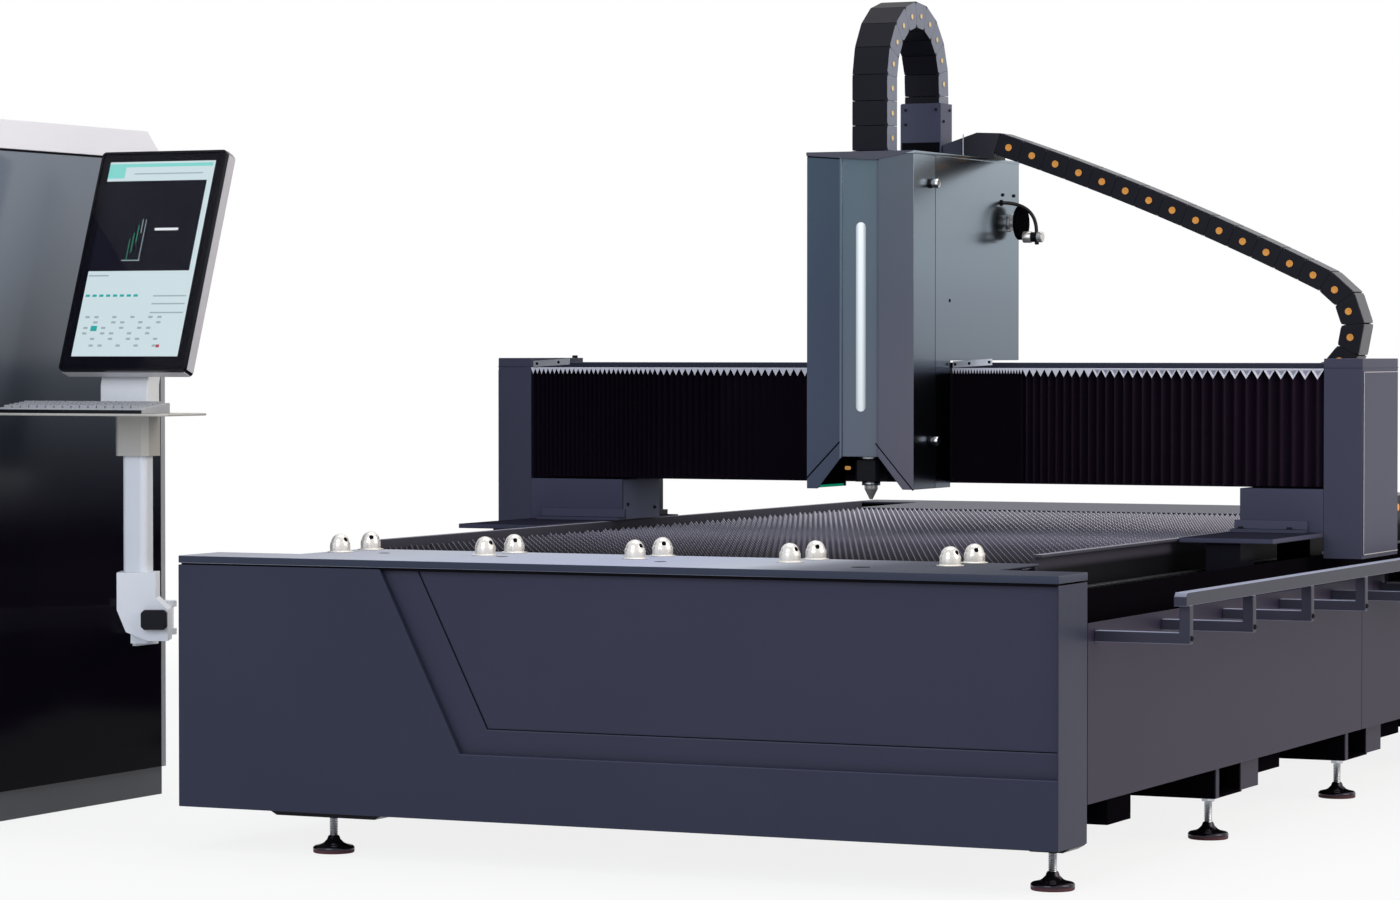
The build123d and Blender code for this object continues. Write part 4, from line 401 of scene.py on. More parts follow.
# Neck: the arm's coat, painted whiter to lift the monitor's shadow on it
neck_white_painted_light = finish("neck coat whitened as painted light", "#F4F7FA", "#F6F8FA", (0.34, 0.44), bump=0.05, shine=0.4)
# Swivel and shelf: warm light grey plastic
shelf_grey = finish("warm grey plastic", "#B6B4AD", "#BCBAB3", (0.4, 0.5), grain=1, bump=0.12)
# Drives and laser source in the cabinet: cast light alloy
unit_alloy = finish("cast alloy", "#8E9194", "#9A9C9E", (0.4, 0.55), grain=1.5, bump=0.2, metal=0.7)
# Key tops and keyboard body: silver-grey plastic
key_grey = finish("silver grey plastic", "#A6A8AC", "#B0B2B6", (0.4, 0.5), patch=40, grain=0.8,
                  bump=0.1)
# Monitor case: black plastic with a soft gloss
case_black = finish("black case plastic", "#0B0B12", "#101017", (0.2, 0.3), patch=60, grain=0.8,
                    bump=0.02, shine=0.15)
# Monitor edge: silver paint with a fine sparkle
silver = finish("silver paint", "#C4C2C8", "#CDCBD0", (0.28, 0.36), patch=60, grain=0.8, bump=0.05)

# %% [markdown]
# Bare metal shows by what it mirrors. Its colour could be painted on, but then it would look
# the same from every side, so these finishes differ mostly in gloss and in how far they are
# metallic. The rails are streaked along the bed, because they were ground that way.

# %% Metals
# Zinc plating: pale, faintly mottled blue-white metal
zinc = finish("zinc plating", "#C9CCD2", "#B5B8BF", (0.28, 0.4), patch=25, grain=1, bump=0.05,
              metal=1.0)
# Ball units: polished steel, tinted cream as a painted reflection of the warm room
cream_steel = finish("polished cup steel", "#EAE6DF", "#DEDAD4", (0.16, 0.26), patch=30, grain=1,
                     bump=0.02, metal=0.5)
# Chromed steel: bright mirror with fine haze
chrome = finish("chromed steel", "#E2E1E0", "#D2D1D0", (0.16, 0.26), patch=30, grain=1, bump=0.01,
                metal=1.0)
# Foot bells: dark chromed steel that mirrors the pale floor
bell_steel = finish("dark chromed steel", "#37333B", "#2B2830", (0.12, 0.22), patch=30, grain=1,
                    bump=0.02, metal=0.85)
# Rails, racks and pinions: ground steel with fine streaks along the bed
rail_steel = finish("ground steel", "#6E7074", "#5B5D62", (0.22, 0.34), patch=60, grain=1, bump=0.05,
                    stretch=(1, 0.03, 1), metal=1.0)
# Slag trays: dull dark sheet
tray_steel = finish("scaled sheet", "#1B191D", "#262223", (0.6, 0.8), patch=120, grain=4, bump=0.3,
                    shine=0.2)
# Machined aluminium: pale, fine tool marks
alloy = finish("machined aluminium", "#9DA1A8", "#A9ACB2", (0.25, 0.38), patch=70, grain=0.8,
               bump=0.06, metal=1.0)
# Motors and plates: black anodised aluminium with a faint sheen
motor_black = finish("black anodised", "#12121A", "#181820", (0.3, 0.42), patch=80, grain=1,
                     bump=0.06, shine=0.12)
# Nickel plate of valve and fittings: warm bright metal
nickel = finish("nickel plate", "#DAD7D2", "#CECBC6", (0.15, 0.25), patch=15, grain=0.8, bump=0.02,
                metal=0.6)

# %% [markdown]
# Chains, plugs, soles and the hems of the bellows are moulded or coated, with a dull skin. They
# could each have a build of their own, but the shared finish without metal is enough: the chains'
# lids are paler and shine more, rubber is rough, and dark gaps hardly shine at all.

# %% Plastics, rubber and cloth
# Chain nylon: black mouldings with a dull skin
nylon = finish("black nylon", "#0E0E18", "#13131D", (0.42, 0.55), patch=60, grain=0.8, bump=0.08,
               shine=0.12)
# Chain lids: the same nylon, paler and glossier
lid_nylon = finish("paler black nylon", "#3B3B42", "#4A4A51", (0.35, 0.5), patch=80, grain=1,
                   bump=0.1, shine=0.5)
# Arch chain: grey-blue side mouldings
grey_nylon = finish("grey nylon", "#6D7382", "#7A808F", (0.38, 0.48), patch=60, grain=0.8, bump=0.08,
                    shine=0.3)
PLUG = {"rough": (0.35, 0.45), "patch": 12, "grain": 0.6, "bump": 0.05, "shine": 0.3}
# Pins of the chains: orange moulded plugs
orange = finish("orange plug", "#E0902F", "#E8A346", **PLUG)
# Pins of the arch chain: the same plugs, paler
pale_orange = finish("faded orange plug", "#E2BE7A", "#E8CC92", **PLUG)
# Foot soles: dark maroon rubber
sole = finish("maroon rubber sole", "#4A2A30", "#543236", (0.65, 0.8), patch=20, grain=1, bump=0.2,
              shine=0.3)
# Hose: smooth black jacket
jacket = finish("black hose jacket", "#0C0C10", "#131317", (0.3, 0.4), patch=20, grain=0.6, bump=0.05,
                shine=0.35)
# Seams, folds, holes and sockets: near black, painting the shade in them
gap_dark = finish("dark gap", "#08080C", "#0D0D12", (0.7, 0.8), patch=20, grain=1, bump=0.1,
                  shine=0.05)
# Hem of the bellows: pale coated cloth
gusset = finish("pale coated cloth", "#DCDCE6", "#D0D0DC", (0.45, 0.6), patch=15, grain=1, bump=0.2,
                shine=0.3)
# Folded-in middle of each hem flap: a darker grey, painted shade in the fold
fold_shade_grey = finish("cloth darkened as painted shade", "#9A9AA6", "#8C8C98", (0.5, 0.65), patch=15, grain=1,
                   bump=0.2, shine=0.2)
hose_curve.materials.append(jacket)

# %% [markdown]
# Six finishes need their own build, and the first is that of the slats. They are hot-rolled
# strip, stained and scaled on its sides and bright where the teeth were cut. Two materials could
# do it, but the teeth belong to the same mesh, so one material tells the cut edges by the way
# they face, and paints a highlight on them too. Both of its colours are ramps of painted light
# and shade: the slats are dark in front, where they shade each other, and paler far back.

# %% Slat steel
# Slats: hot-rolled strip with painted shade in front and painted light far back, and bright cut edges
# with a painted highlight where a face looks up
STAIN, MILL_SCALE = 90.9, 2.5
SLAT_LIGHT_TONES = [(500, "#151419"), (1300, "#56535F"), (2400, "#B0ACBC"), (3600, "#C4C2CE")]
CUT_EDGE_HIGHLIGHT_TONES = [(500, "#403E46"), (1300, "#8C8997"), (2400, "#D2D0DE"), (3600, "#E0DEEA")]
slat_steel, tree, shader, place = shader_of("hot rolled strip")
plain = ramp(tree, place, 1, SLAT_LIGHT_TONES)
bright = ramp(tree, place, 1, CUT_EDGE_HIGHLIGHT_TONES)
stain = add(tree, "TexNoise", {"Vector": place, "Scale": 1000 / STAIN, "Detail": 3.0})
stain = add(tree, "MapRange", {"Value": stain.outputs[0], "To Max": 0.35})
plain = add(tree, "Mix", {0: stain.outputs[0], 6: plain, 7: hexa("#2F2A2E")}, data_type="RGBA")
upward = facing(tree, 2, 0.1, 0.4)
tint = add(tree, "Mix", {0: upward, 6: plain.outputs[2], 7: bright}, data_type="RGBA")
grit = add(tree, "TexNoise", {"Vector": place, "Scale": 1000 / MILL_SCALE})
relief = {"Height": grit.outputs[0], "Strength": 0.15, "Distance": MILL_SCALE / 5000}
relief = add(tree, "Bump", relief)
wire(tree, shader, {
    "Base Color": tint.outputs[2], "Roughness": 0.5, "Normal": relief.outputs[0],
    "Specular IOR Level": 0.25,
})
print("mixed", slat_steel.name)

# %% [markdown]
# The bellows are coated cloth: near black, dull and woven. The weave could be modelled thread by
# thread, but that is finer than a pixel, so a wave texture lifts the surface a little. A wave
# texture of scale 1 repeats every pi / 10 metres, so a period in millimetres gives its scale.

# %% Bellows cloth
WAVE = 1000 * math.pi / 10
# Bellows cloth: near-black coated weave, threads drawn at about 1 mm, coarser than life
THREAD, THREAD_RISE, CLOTH_PATCH = 0.952, 0.4, 111.1
bellows_cloth, tree, shader, place = shader_of("coated bellows cloth")
weave = {"Vector": place, "Scale": WAVE / THREAD, "Distortion": 0.4}
weave = add(tree, "TexWave", weave, bands_direction="Z")
drift = add(tree, "TexNoise", {"Vector": place, "Scale": 1000 / CLOTH_PATCH})
mix = {0: drift.outputs[0], 6: hexa("#221826"), 7: hexa("#291E2D")}
tint = add(tree, "Mix", mix, data_type="RGBA")
relief = {"Height": weave.outputs[1], "Strength": 0.15, "Distance": THREAD_RISE / 1000}
relief = add(tree, "Bump", relief)
wire(tree, shader, {
    "Base Color": tint.outputs[2], "Roughness": 0.6, "Normal": relief.outputs[0],
    "Specular IOR Level": 0.06,
})
print("mixed", bellows_cloth.name)

# %% [markdown]
# The console's panel has a gloss lacquer that mirrors the bright room at the top and the dark
# machine below, so it looks blue-grey at the top and near black below. The lights could draw that
# fade, but then it would change from every side. So the fade is a painted reflection mixed by
# height, and the strength of the mirror image goes the same way.

# %% Panel lacquer
# Console panel: gloss lacquer with a painted reflection, blue-grey at the top and near black below
RIPPLE, FADE_RISE, MIRROR_FROM, MIRROR_TO = 333.3, 600, 400, 1700
panel_gloss, tree, shader, place = shader_of("graded gloss lacquer")
height = add(tree, "SeparateXYZ", {"Vector": place}).outputs[2]
low, high = span("console_panel")
fade = {"Value": height, "From Min": (low.z + FADE_RISE) / 1000, "From Max": high.z / 1000}
fade = add(tree, "MapRange", fade, interpolation_type="SMOOTHSTEP")
mix = {0: fade.outputs[0], 6: hexa("#100D16"), 7: hexa("#737D8A")}
tint = add(tree, "Mix", mix, data_type="RGBA")
ripple = add(tree, "TexNoise", {"Vector": place, "Scale": 1000 / RIPPLE})
relief = add(tree, "Bump", {"Height": ripple.outputs[0], "Strength": 0.02, "Distance": 0.002})
mirror = {"Value": height, "From Min": MIRROR_FROM / 1000, "From Max": MIRROR_TO / 1000,
          "To Min": 0.02, "To Max": 0.4}
mirror = add(tree, "MapRange", mirror)
wire(tree, shader, {
    "Base Color": tint.outputs[2], "Roughness": 0.12, "Normal": relief.outputs[0],
    "Specular IOR Level": mirror.outputs[0],
})
print("mixed", panel_gloss.name)

# %% [markdown]
# The monitor's front is float glass with a coat against glare. Plain glass would lay the white
# room over the display, and no glass at all would leave its edges open. So it is real glass for
# the light that it turns, and its alpha lets nearly everything straight through.

# %% Monitor glass
# Front glass: its anti-glare coat lets most light straight through, with the faintest smear
SMEAR = 83.3
glass, tree, shader, place = shader_of("clear front glass")
smear = add(tree, "TexNoise", {"Vector": place, "Scale": 1000 / SMEAR})
gloss = add(tree, "MapRange", {"Value": smear.outputs[0], "To Min": 0.0, "To Max": 0.04})
wire(tree, shader, {
    "Base Color": hexa("#F4F8F8"), "Roughness": gloss.outputs[0], "Transmission Weight": 1.0,
    "IOR": 1.5, "Alpha": 0.05,
})
print("mixed", glass.name)

# %% [markdown]
# Such a light strip is a row of small lamps behind an opal lens. Lamps in the scene would light
# the casing too, so here the lens itself glows: brightest along its middle and towards its top.

# %% Light strip
# Light strip: opal lens, brightest along its middle and towards its top
CORE = 3
opal, tree, shader, place = shader_of("lit opal lens")
axes = add(tree, "SeparateXYZ", {"Vector": place}).outputs
low, high = span("light_strip")
centre = at((low.x + high.x) / 2, 0, 0).x
off = add(tree, "Math", {0: axes[0], 1: centre}, operation="SUBTRACT")
off = add(tree, "Math", {0: off.outputs[0]}, operation="ABSOLUTE")
glow = {"Value": off.outputs[0], "From Min": CORE / 1000, "From Max": (high.x - low.x) / 2000,
        "To Min": 0.85, "To Max": 0.25}
glow = add(tree, "MapRange", glow, interpolation_type="SMOOTHSTEP")
fall = {"Value": axes[2], "From Min": low.z / 1000, "From Max": high.z / 1000, "To Min": 0.7,
        "To Max": 0.92}
fall = add(tree, "MapRange", fall)
glow = add(tree, "Math", {0: glow.outputs[0], 1: fall.outputs[0]}, operation="MULTIPLY")
wire(tree, shader, {
    "Base Color": hexa("#8E979E"), "Roughness": 0.4, "Emission Color": hexa("#F2F8FC"),
    "Emission Strength": glow.outputs[0],
})
print("mixed", opal.name)

# %% [markdown]
# Displays and status lamps glow by themselves, dot by dot. The dots are finer than a pixel here,
# so they are drawn at about 2 mm and change the glow only a little. The surface itself is nearly
# black and does not shine, so that the room leaves no veil on it.

# %% Displays and lamps
DOT = 1.9635


def lit(name, colour, strength):
    """A glowing display or lamp with its grid of dots, drawn at 2 mm, coarser than life."""
    material, tree, shader, place = shader_of(name)
    dots = add(tree, "TexWave", {"Vector": place, "Scale": WAVE / DOT}, bands_direction="X")
    level = {"Value": dots.outputs[1], "To Min": strength * 0.94, "To Max": strength}
    level = add(tree, "MapRange", level)
    wire(tree, shader, {
        "Base Color": hexa("#040406"), "Roughness": 0.6, "Emission Color": hexa(colour),
        "Emission Strength": level.outputs[0], "Specular IOR Level": 0.0,
    })
    print("mixed", name)
    return material


print("dots of", DOT, "mm")

# %% [markdown]
# Every CAD node that stays in sight takes its material here. Sharp CAD edges never look real,
# so each node is welded and gets a small rounded edge that draws the thin light lines on the
# folds of the sheet metal. A bevel modifier does this without touching the CAD mesh.

# %% Dress the CAD nodes
WELD, CREASE = 0.00002, math.radians(38)


def dress(node, material, edge):
    """Material and a rounded edge of some mm for a CAD node."""
    node.data.materials.clear()
    node.data.materials.append(material)
    node.modifiers.new("weld", "WELD").merge_threshold = WELD
    soft = node.modifiers.new("edge", "BEVEL")
    soft.width = edge / 1000
    soft.segments = 2
    soft.loop_slide = False
    soft.angle_limit = CREASE
    node.modifiers.new("flat faces", "WEIGHTED_NORMAL")


for material, edge, names in (
    (slate, 1.6, "front_cover rear_cover gantry_beam"),
    (gantry_slate, 1.6, "end_columns"),
    (saddle_slate, 1.6, "saddles"),
    (shelf_slate, 2.0, "chain_shelf"),
    (side_slate, 1.0, "side_panels"),
    (inset, 0.8, "front_inset_panel"),
    (plate_coat, 2.5, "loading_plate"),
    (cream_steel, 0.6, "ball_cups transfer_balls"),
    (zinc, 0.6, "foot_stems"),
    (nickel, 0.3, "nozzle"),
    (bell_steel, 1.0, "foot_pads"),
    (rail_steel, 0.8, "y_rails_and_racks x_rails_and_rack carriage_rails z_screw"),
    (rail_steel, 0.6, "right_y_pinion left_y_pinion x_pinion"),
    # on the guide blocks and the bed's frame this black is painted shade
    (black_paint_and_shade, 0.8, "guide_guards y_guide_blocks bed_frame"),
    (table_grey, 1.0, "table_frame"),
    (slat_steel, 0.3, "slats"),
    (tray_steel, 0.8, "slag_trays"),
    (nylon, 0.5, "x_drag_chain y_drag_chain z_drag_chain"),
    (bellows_cloth, 0.3, "left_bellows right_bellows"),
    (satin, 1.0, "head_casing"),
    (cover, 1.5, "casing_front_cover"),
    (opal, 0.5, "light_strip"),
    (motor_black, 1.5, "carriage_motors y_motors cutting_head arm_clamp"),
    (motor_black, 1.0, "carriage_plate"),
    (nickel, 1.0, "gas_valve"),
    (jacket, 0.2, "gas_hose"),
    (bracket_coat, 1.5, "chain_brackets"),
    (alloy, 1.0, "z_plate"),
    (cabinet_grey, 1.2, "console_cabinet rear_door_near rear_door_far cabinet_hinges"),
    (cap_grey, 2.0, "console_cap"),
    (panel_gloss, 0.8, "console_panel"),
    (unit_alloy, 1.0, "cabinet_units"),
    (arm_white, 2.5, "arm_bracket support_arm arm_post"),
    (neck_white_painted_light, 2.5, "monitor_neck"),
    (shelf_grey, 2.0, "swivel_block keyboard_shelf"),
    (key_grey, 1.5, "keyboard"),
    (case_black, 1.0, "monitor_housing"),
    (glass, 0.3, "screen_glass"),
):
    for name in names.split():
        dress(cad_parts[name], material, edge)
print("dressed", len(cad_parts), "nodes")

# %% [markdown]
# ## Mesh helpers
# Nearly every small part of a machine was cut from sheet or turned. Boxes and cylinders from
# Blender's menu could be scaled to fit, but an outline drawn out along an axis and a profile
# turned about one follow how the parts are made, and take any shape.

# %% Prisms and lathes
AXES = {"x": (1, 0, 0), "y": (0, 1, 0), "z": (0, 0, 1)}


def prism(bm, outline, axis, ends, mat=0):
    """An outline in the other two axes, drawn out between two values; returns its corners."""
    rings = []
    for end in ends:
        places = {"x": [(end, a, b) for a, b in outline], "y": [(a, end, b) for a, b in outline],
                  "z": [(a, b, end) for a, b in outline]}[axis]
        rings.append([bm.verts.new(p) for p in places])
    faces = [bm.faces.new(rings[0]), bm.faces.new(rings[1][::-1])]
    for i in range(len(outline)):
        j = (i + 1) % len(outline)
        faces.append(bm.faces.new((rings[0][i], rings[0][j], rings[1][j], rings[1][i])))
    for face in faces:
        face.material_index = mat
    return rings[0] + rings[1]


def bar(bm, x, y, z, mat=0):
    """A box between two values on each axis."""
    return prism(bm, [(x[0], y[0]), (x[1], y[0]), (x[1], y[1]), (x[0], y[1])], "z", z, mat)


def lathe(bm, profile, centre, axis, sides=24, mats=(0,)):
    """Pairs of (radius, distance) turned about an axis or direction; one material per band."""
    w = Vector(AXES.get(axis, axis)).normalized()
    u = w.orthogonal().normalized()
    v = w.cross(u)
    rings = []
    for radius, along in profile:
        base = Vector(centre) + w * along
        turns = [2 * math.pi * k / sides for k in range(sides if radius else 1)]
        around = [base + radius * (u * math.cos(t) + v * math.sin(t)) for t in turns]
        rings.append([bm.verts.new(p) for p in around])
    for i, (a, b) in enumerate(zip(rings, rings[1:])):
        for k in range(sides):
            loop = (a[k % len(a)], a[(k + 1) % len(a)], b[(k + 1) % len(b)], b[k % len(b)])
            face = bm.faces.new(list(dict.fromkeys(loop)))
            face.material_index = mats[min(i, len(mats) - 1)]
    return [vert for ring in rings for vert in ring]


print("helpers: prism, bar, lathe")

# %% [markdown]
# Pieces are drawn in the CAD's millimetres and only turned into metres when they are finished.
# A piece that is given a body then rides on it, so that it follows when the machine is posed. The
# piece gets smooth shading with sharp creases. A screw is a turned head with its socket.

# %% Screws and pieces
SHARP = math.radians(32)


def bolt(bm, centre, axis, radius, way=1, mat=0):
    """A socket-head screw standing on a face."""
    shape = [(0, -0.2), (1, -0.2), (1, 0.7), (0.85, 0.9), (0.5, 0.9), (0.45, 0.4), (0, 0.4)]
    return lathe(bm, [(r * radius, way * h * radius) for r, h in shape], centre, axis, 14, (mat,))


def piece(name, bm, materials, body=None):
    """Turn a drawing into an object, which rides on a body if one is given."""
    bmesh.ops.recalc_face_normals(bm, faces=bm.faces)
    for vert in bm.verts:
        vert.co = at(*vert.co)
    mesh = bpy.data.meshes.new(name)
    bm.to_mesh(mesh)
    bm.free()
    mesh.shade_smooth()
    mesh.set_sharp_from_angle(angle=SHARP)
    for material in materials:
        mesh.materials.append(material)
    made = bpy.data.objects.new(name, mesh)
    scene.collection.objects.link(made)
    if body:
        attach(made, body)
    print("made", name, len(mesh.polygons), "faces")
    return made


print("helpers: bolt, piece")

# %% [markdown]
# ## Drag chains
# A drag chain carries the cables of a moving slide: it lies in an upper run, a round turn and a
# lower run. Its path could be a curve object, but only the joints of its links matter. So the
# path is walked in even steps, and each joint keeps its place and heading.

# %% Joints of a chain
def walk(start, heading, runs, pitch):
    """Points and headings of the joints along runs of (length, clockwise radius or 0)."""
    total = sum(length for length, _ in runs)
    count = round(total / pitch)
    joints = []
    for i in range(count + 1):
        left = i * total / count
        a, b = start
        angle = math.radians(heading)
        for length, radius in runs:
            run = min(length, left)
            left -= run
            if radius == 0:
                a += run * math.cos(angle)
                b += run * math.sin(angle)
                continue
            turn = run / radius
            a += radius * (math.sin(angle) - math.sin(angle - turn))
            b += radius * (math.cos(angle - turn) - math.cos(angle))
            angle -= turn
        joints.append((a, b, angle))
    return joints


def turn_of(joints):
    """Joint numbers where a chain's turn starts and ends."""
    ahead = [abs(math.sin(angle)) < 0.5 and math.cos(angle) > 0 for _, _, angle in joints]
    back = [math.cos(angle) < -0.999 for _, _, angle in joints]
    return ahead.index(False) - 1, back.index(True)


print("helpers: walk, turn_of")

# %% [markdown]
# The links are moulded nylon. One link could be repeated along a curve by modifiers, but links
# at a bend need slanted ends, so each is drawn on its own between two joints: two chamfered side
# plates, a narrower tongue that reaches into its neighbour, lids across both edges and a
# coloured pin in the middle.

# %% Links
LINK_WALL, LINK_GAP, LID_PROUD, LID_DEEP = 8, 0.5, 0.6, 4
TONGUE, TONGUE_WALL, TONGUE_SHARE = (-14, 10), 5, 0.36


def link(bm, here, there, bends, width, height, plane, pin, lid_in, lid_gap):
    """One link between two joints, its ends slanted by the bends; width lies along plane."""
    run = math.hypot(there[0] - here[0], there[1] - here[1])
    turn = math.atan2(there[1] - here[1], there[0] - here[0])
    half = height / 2
    cut = height / 9
    slants = [math.tan(bend / 2) for bend in bends]

    def ends(v, gap):
        return (gap - v * slants[0], v), (run - gap + v * slants[1], v)

    outline = []
    wide = LINK_GAP + cut
    for v, gap in ((-half, wide), (-half + cut, LINK_GAP), (half - cut, LINK_GAP), (half, wide)):
        start, stop = ends(v, gap)
        outline = [start] + outline + [stop]
    rise = TONGUE_SHARE * height
    tongue = [(TONGUE[0], -rise), (TONGUE[1], -rise), (TONGUE[1], rise), (TONGUE[0], rise)]
    rim = pin * 1.25
    disc = [(0, 0), (rim, 0), (rim, 0.8), (pin, 0.8), (pin, 1.8), (pin * 0.35, 1.8), (0, 1.2)]
    verts = []
    for side, way in ((width[0], 1), (width[1], -1)):
        inside = side + way * LINK_WALL
        verts += prism(bm, outline, "y", (side, inside), 0)
        verts += prism(bm, tongue, "y", (inside, inside + way * TONGUE_WALL), 0)
        button = [(r, -way * h) for r, h in disc]
        verts += lathe(bm, button, (run / 2, side, 0), "y", 16, (0, 0, 0, 2))
    for edge in (-1, 1):
        outer = edge * (half + LID_PROUD)
        inner = edge * (half - LID_DEEP)
        lid = [*ends(inner, lid_gap), *ends(outer, lid_gap)[::-1]]
        verts += prism(bm, lid, "y", (width[0] + lid_in, width[1] - lid_in), 1)
    for vert in verts:
        u, w, v = vert.co
        a = here[0] + u * math.cos(turn) - v * math.sin(turn)
        b = here[1] + u * math.sin(turn) + v * math.cos(turn)
        vert.co = (a, w, b) if plane == "y" else (w, a, b)


def chain(name, joints, picks, width, height, plane, materials, pin, lid_in=5, lid_gap=2):
    """The links from one joint to another as one piece."""
    bm = bmesh.new()
    ways = [math.atan2(b[1] - a[1], b[0] - a[0]) for a, b in zip(joints, joints[1:])]
    bends = [0] + [math.remainder(a - b, math.tau) for a, b in zip(ways, ways[1:])] + [0]
    for i in range(*picks):
        link(bm, *joints[i:i + 2], bends[i:i + 2], width, height, plane, pin, lid_in, lid_gap)
    return piece(name, bm, materials)


print("helpers: link, chain")

# %% [markdown]
# A chain's upper run follows what it hangs from, its turn moves half as far, and its lower run
# lies still at its fixed end. Each chain is made as three pieces: its upper run, its turn and its
# lower run.

# %% Chains of the long and the cross axis
FAR = 100000
PIN_R = 9.5


def drag_chain(letter, node, joints, width, height):
    """A chain along x or y as upper run, turn and lower run, between a still and a moving body."""
    first, last = turn_of(joints)
    start, turn, back, fixed = (joints[i][0] for i in (0, first, last, -1))

    def along(v):
        return at(v, 0, 0) if letter == "x" else at(0, v, 0)

    def across(v):
        return at(0, v, 0) if letter == "x" else at(v, 0, 0)

    for part, picks, line in (
        ("upper_run", (0, first), (along(2 * turn - start), along(start))),
        ("turn", (first, last), (across(width[0] - FAR), across(width[1] + FAR))),
        ("lower_run", (last, len(joints) - 1), (along(fixed), along(2 * back - fixed))),
    ):
        plane = "y" if letter == "x" else "x"
        mats = [nylon, lid_nylon, orange]
        made = chain(f"{letter}_chain_{part}", joints, picks, width, height, plane, mats, PIN_R)
        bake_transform(made)
        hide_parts(node)


low, high = span("y_drag_chain")
Y_PITCH, Y_HEIGHT, Y_RADIUS, Y_RUN, Y_REST = 72, 60, 90, 950, 760
y_start = (low.y, low.z + Y_HEIGHT / 2 + 2 * Y_RADIUS)
y_runs = [(Y_RUN, 0), (math.pi * Y_RADIUS, Y_RADIUS), (Y_REST, 0)]
joints = walk(y_start, 0, y_runs, Y_PITCH)
drag_chain("y", "y_drag_chain", joints, (low.x, high.x), Y_HEIGHT)

low, high = span("x_drag_chain")
X_PITCH, X_HEIGHT, X_RADIUS, X_RUN, X_REST, X_DIP, X_SAG = 72, 60, 139, 1005, 850, 18.5, 7500
dip = math.radians(X_DIP)
x_start = (low.x + X_HEIGHT / 2 * math.sin(dip), high.z - X_HEIGHT / 2 * math.cos(dip))
x_bend = math.pi - dip - X_RUN / X_SAG
x_runs = [(X_RUN, X_SAG), (x_bend * X_RADIUS, X_RADIUS), (X_REST, 0)]
joints = walk(x_start, -X_DIP, x_runs, X_PITCH)
drag_chain("x", "x_drag_chain", joints, (low.y, high.y), X_HEIGHT)

# %% [markdown]
# The chain of the vertical axis stands in an arch at the casing. It moves little, so it is not
# split, and is made as one piece.

# %% Arch chain of the vertical axis
Z_PITCH, Z_HEIGHT, Z_RADIUS, Z_LIFT, Z_END, Z_PIN_R = 68, 68, 184.5, 5, 45, 7
casing_low, casing_high = span("head_casing")
low, high = span("z_drag_chain")
z_leg = low.y + Z_HEIGHT / 2
z_arch = high.z - Z_HEIGHT / 2 - Z_RADIUS + Z_LIFT
z_back = z_arch - casing_high.z - Z_END
z_runs = [(z_arch - low.z, 0), (math.pi * Z_RADIUS, Z_RADIUS), (z_back, 0)]
joints = walk((z_leg, low.z), 90, z_runs, Z_PITCH)
arch = chain("z_chain_arch", joints, (0, len(joints) - 1), (low.x, high.x), Z_HEIGHT, "x",
             [grey_nylon, nylon, pale_orange], Z_PIN_R, lid_in=0.5, lid_gap=0.9)
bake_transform(arch)
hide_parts("z_drag_chain")

# %% [markdown]
# ## Bellows
# The cross axis is covered by pleated cloth. Cloth simulation would soften its stiff creases,
# so the pleats are folded one by one. They stand close beside the carriage on the right and beside
# the column on the left, and open out away from there. Over each
# crest it hangs down as a small pointed flap, folded in at its middle where the pleats are
# wide.

# %% Pleats
PLEAT_DEPTH, HEM, FLAP, WIDE = 33, 3, 9, 24
FOLD_IN = Vector((0, 3, 1))
CUT_SHARES = (0.15, 0.85)


def crease(bm, a, b, front, foot_z, top):
    """One pleat between two rows of corners, with its hem and flap."""
    pitch = b[0].co.x - a[0].co.x
    x = a[0].co.x + pitch / 2
    foot = bm.verts.new((x, front, foot_z))
    tip = bm.verts.new((x, front, top - FLAP - 0.5 * pitch))
    for loop in ((a[0], foot, tip, a[1]), (foot, b[0], b[1], tip), (a[1], tip, a[2]), (tip, b[1], b[2])):
        bm.faces.new(loop)
    pale = [(a[2], b[2], b[3], a[3]), (a[3], b[3], b[4], a[4])]
    if pitch > WIDE:
        corners = (a[2], tip, b[2])
        heart = sum((vert.co for vert in corners), Vector()) / 3
        inner = [bm.verts.new(heart.lerp(vert.co, 0.5) + FOLD_IN) for vert in corners]
        pale += [(corners[i], corners[i - 2], inner[i - 2], inner[i]) for i in range(3)]
        # the fold's middle takes the darker grey of painted shade
        bm.faces.new(inner).material_index = 2
    else:
        pale.append((a[2], tip, b[2]))
    for loop in pale:
        bm.faces.new(loop).material_index = 1
    return 2 * math.hypot(pitch / 2, PLEAT_DEPTH)


def pleats(name, edges, z, front, node):
    """Cloth with a valley at each edge and a crest between, in three lengths under a hem."""
    reach = edges[-1] - edges[0]
    back = front + PLEAT_DEPTH
    top = z[1] - HEM
    cuts = [0]
    for part in CUT_SHARES:
        cuts.append(min(range(len(edges)), key=lambda i: abs(edges[i] - edges[0] - part * reach)))
    cuts.append(len(edges) - 1)
    made = []
    for part, (first, last) in enumerate(zip(cuts, cuts[1:])):
        bm = bmesh.new()
        rows = []
        for x in edges[first:last + 1]:
            places = ((back, z[0]), (back, top), (front, top), (front, z[1]), (back, z[1]))
            rows.append([bm.verts.new((x, *p)) for p in places])
        flat = sum(crease(bm, a, b, front, z[0], top) for a, b in zip(rows, rows[1:]))
        cloths = [bellows_cloth, gusset, fold_shade_grey]
        sheet = piece(f"{name}_{part + 1}", bm, cloths)
        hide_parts(node)
        made.append((sheet, flat / 1000, edges[first], edges[last]))
    return made


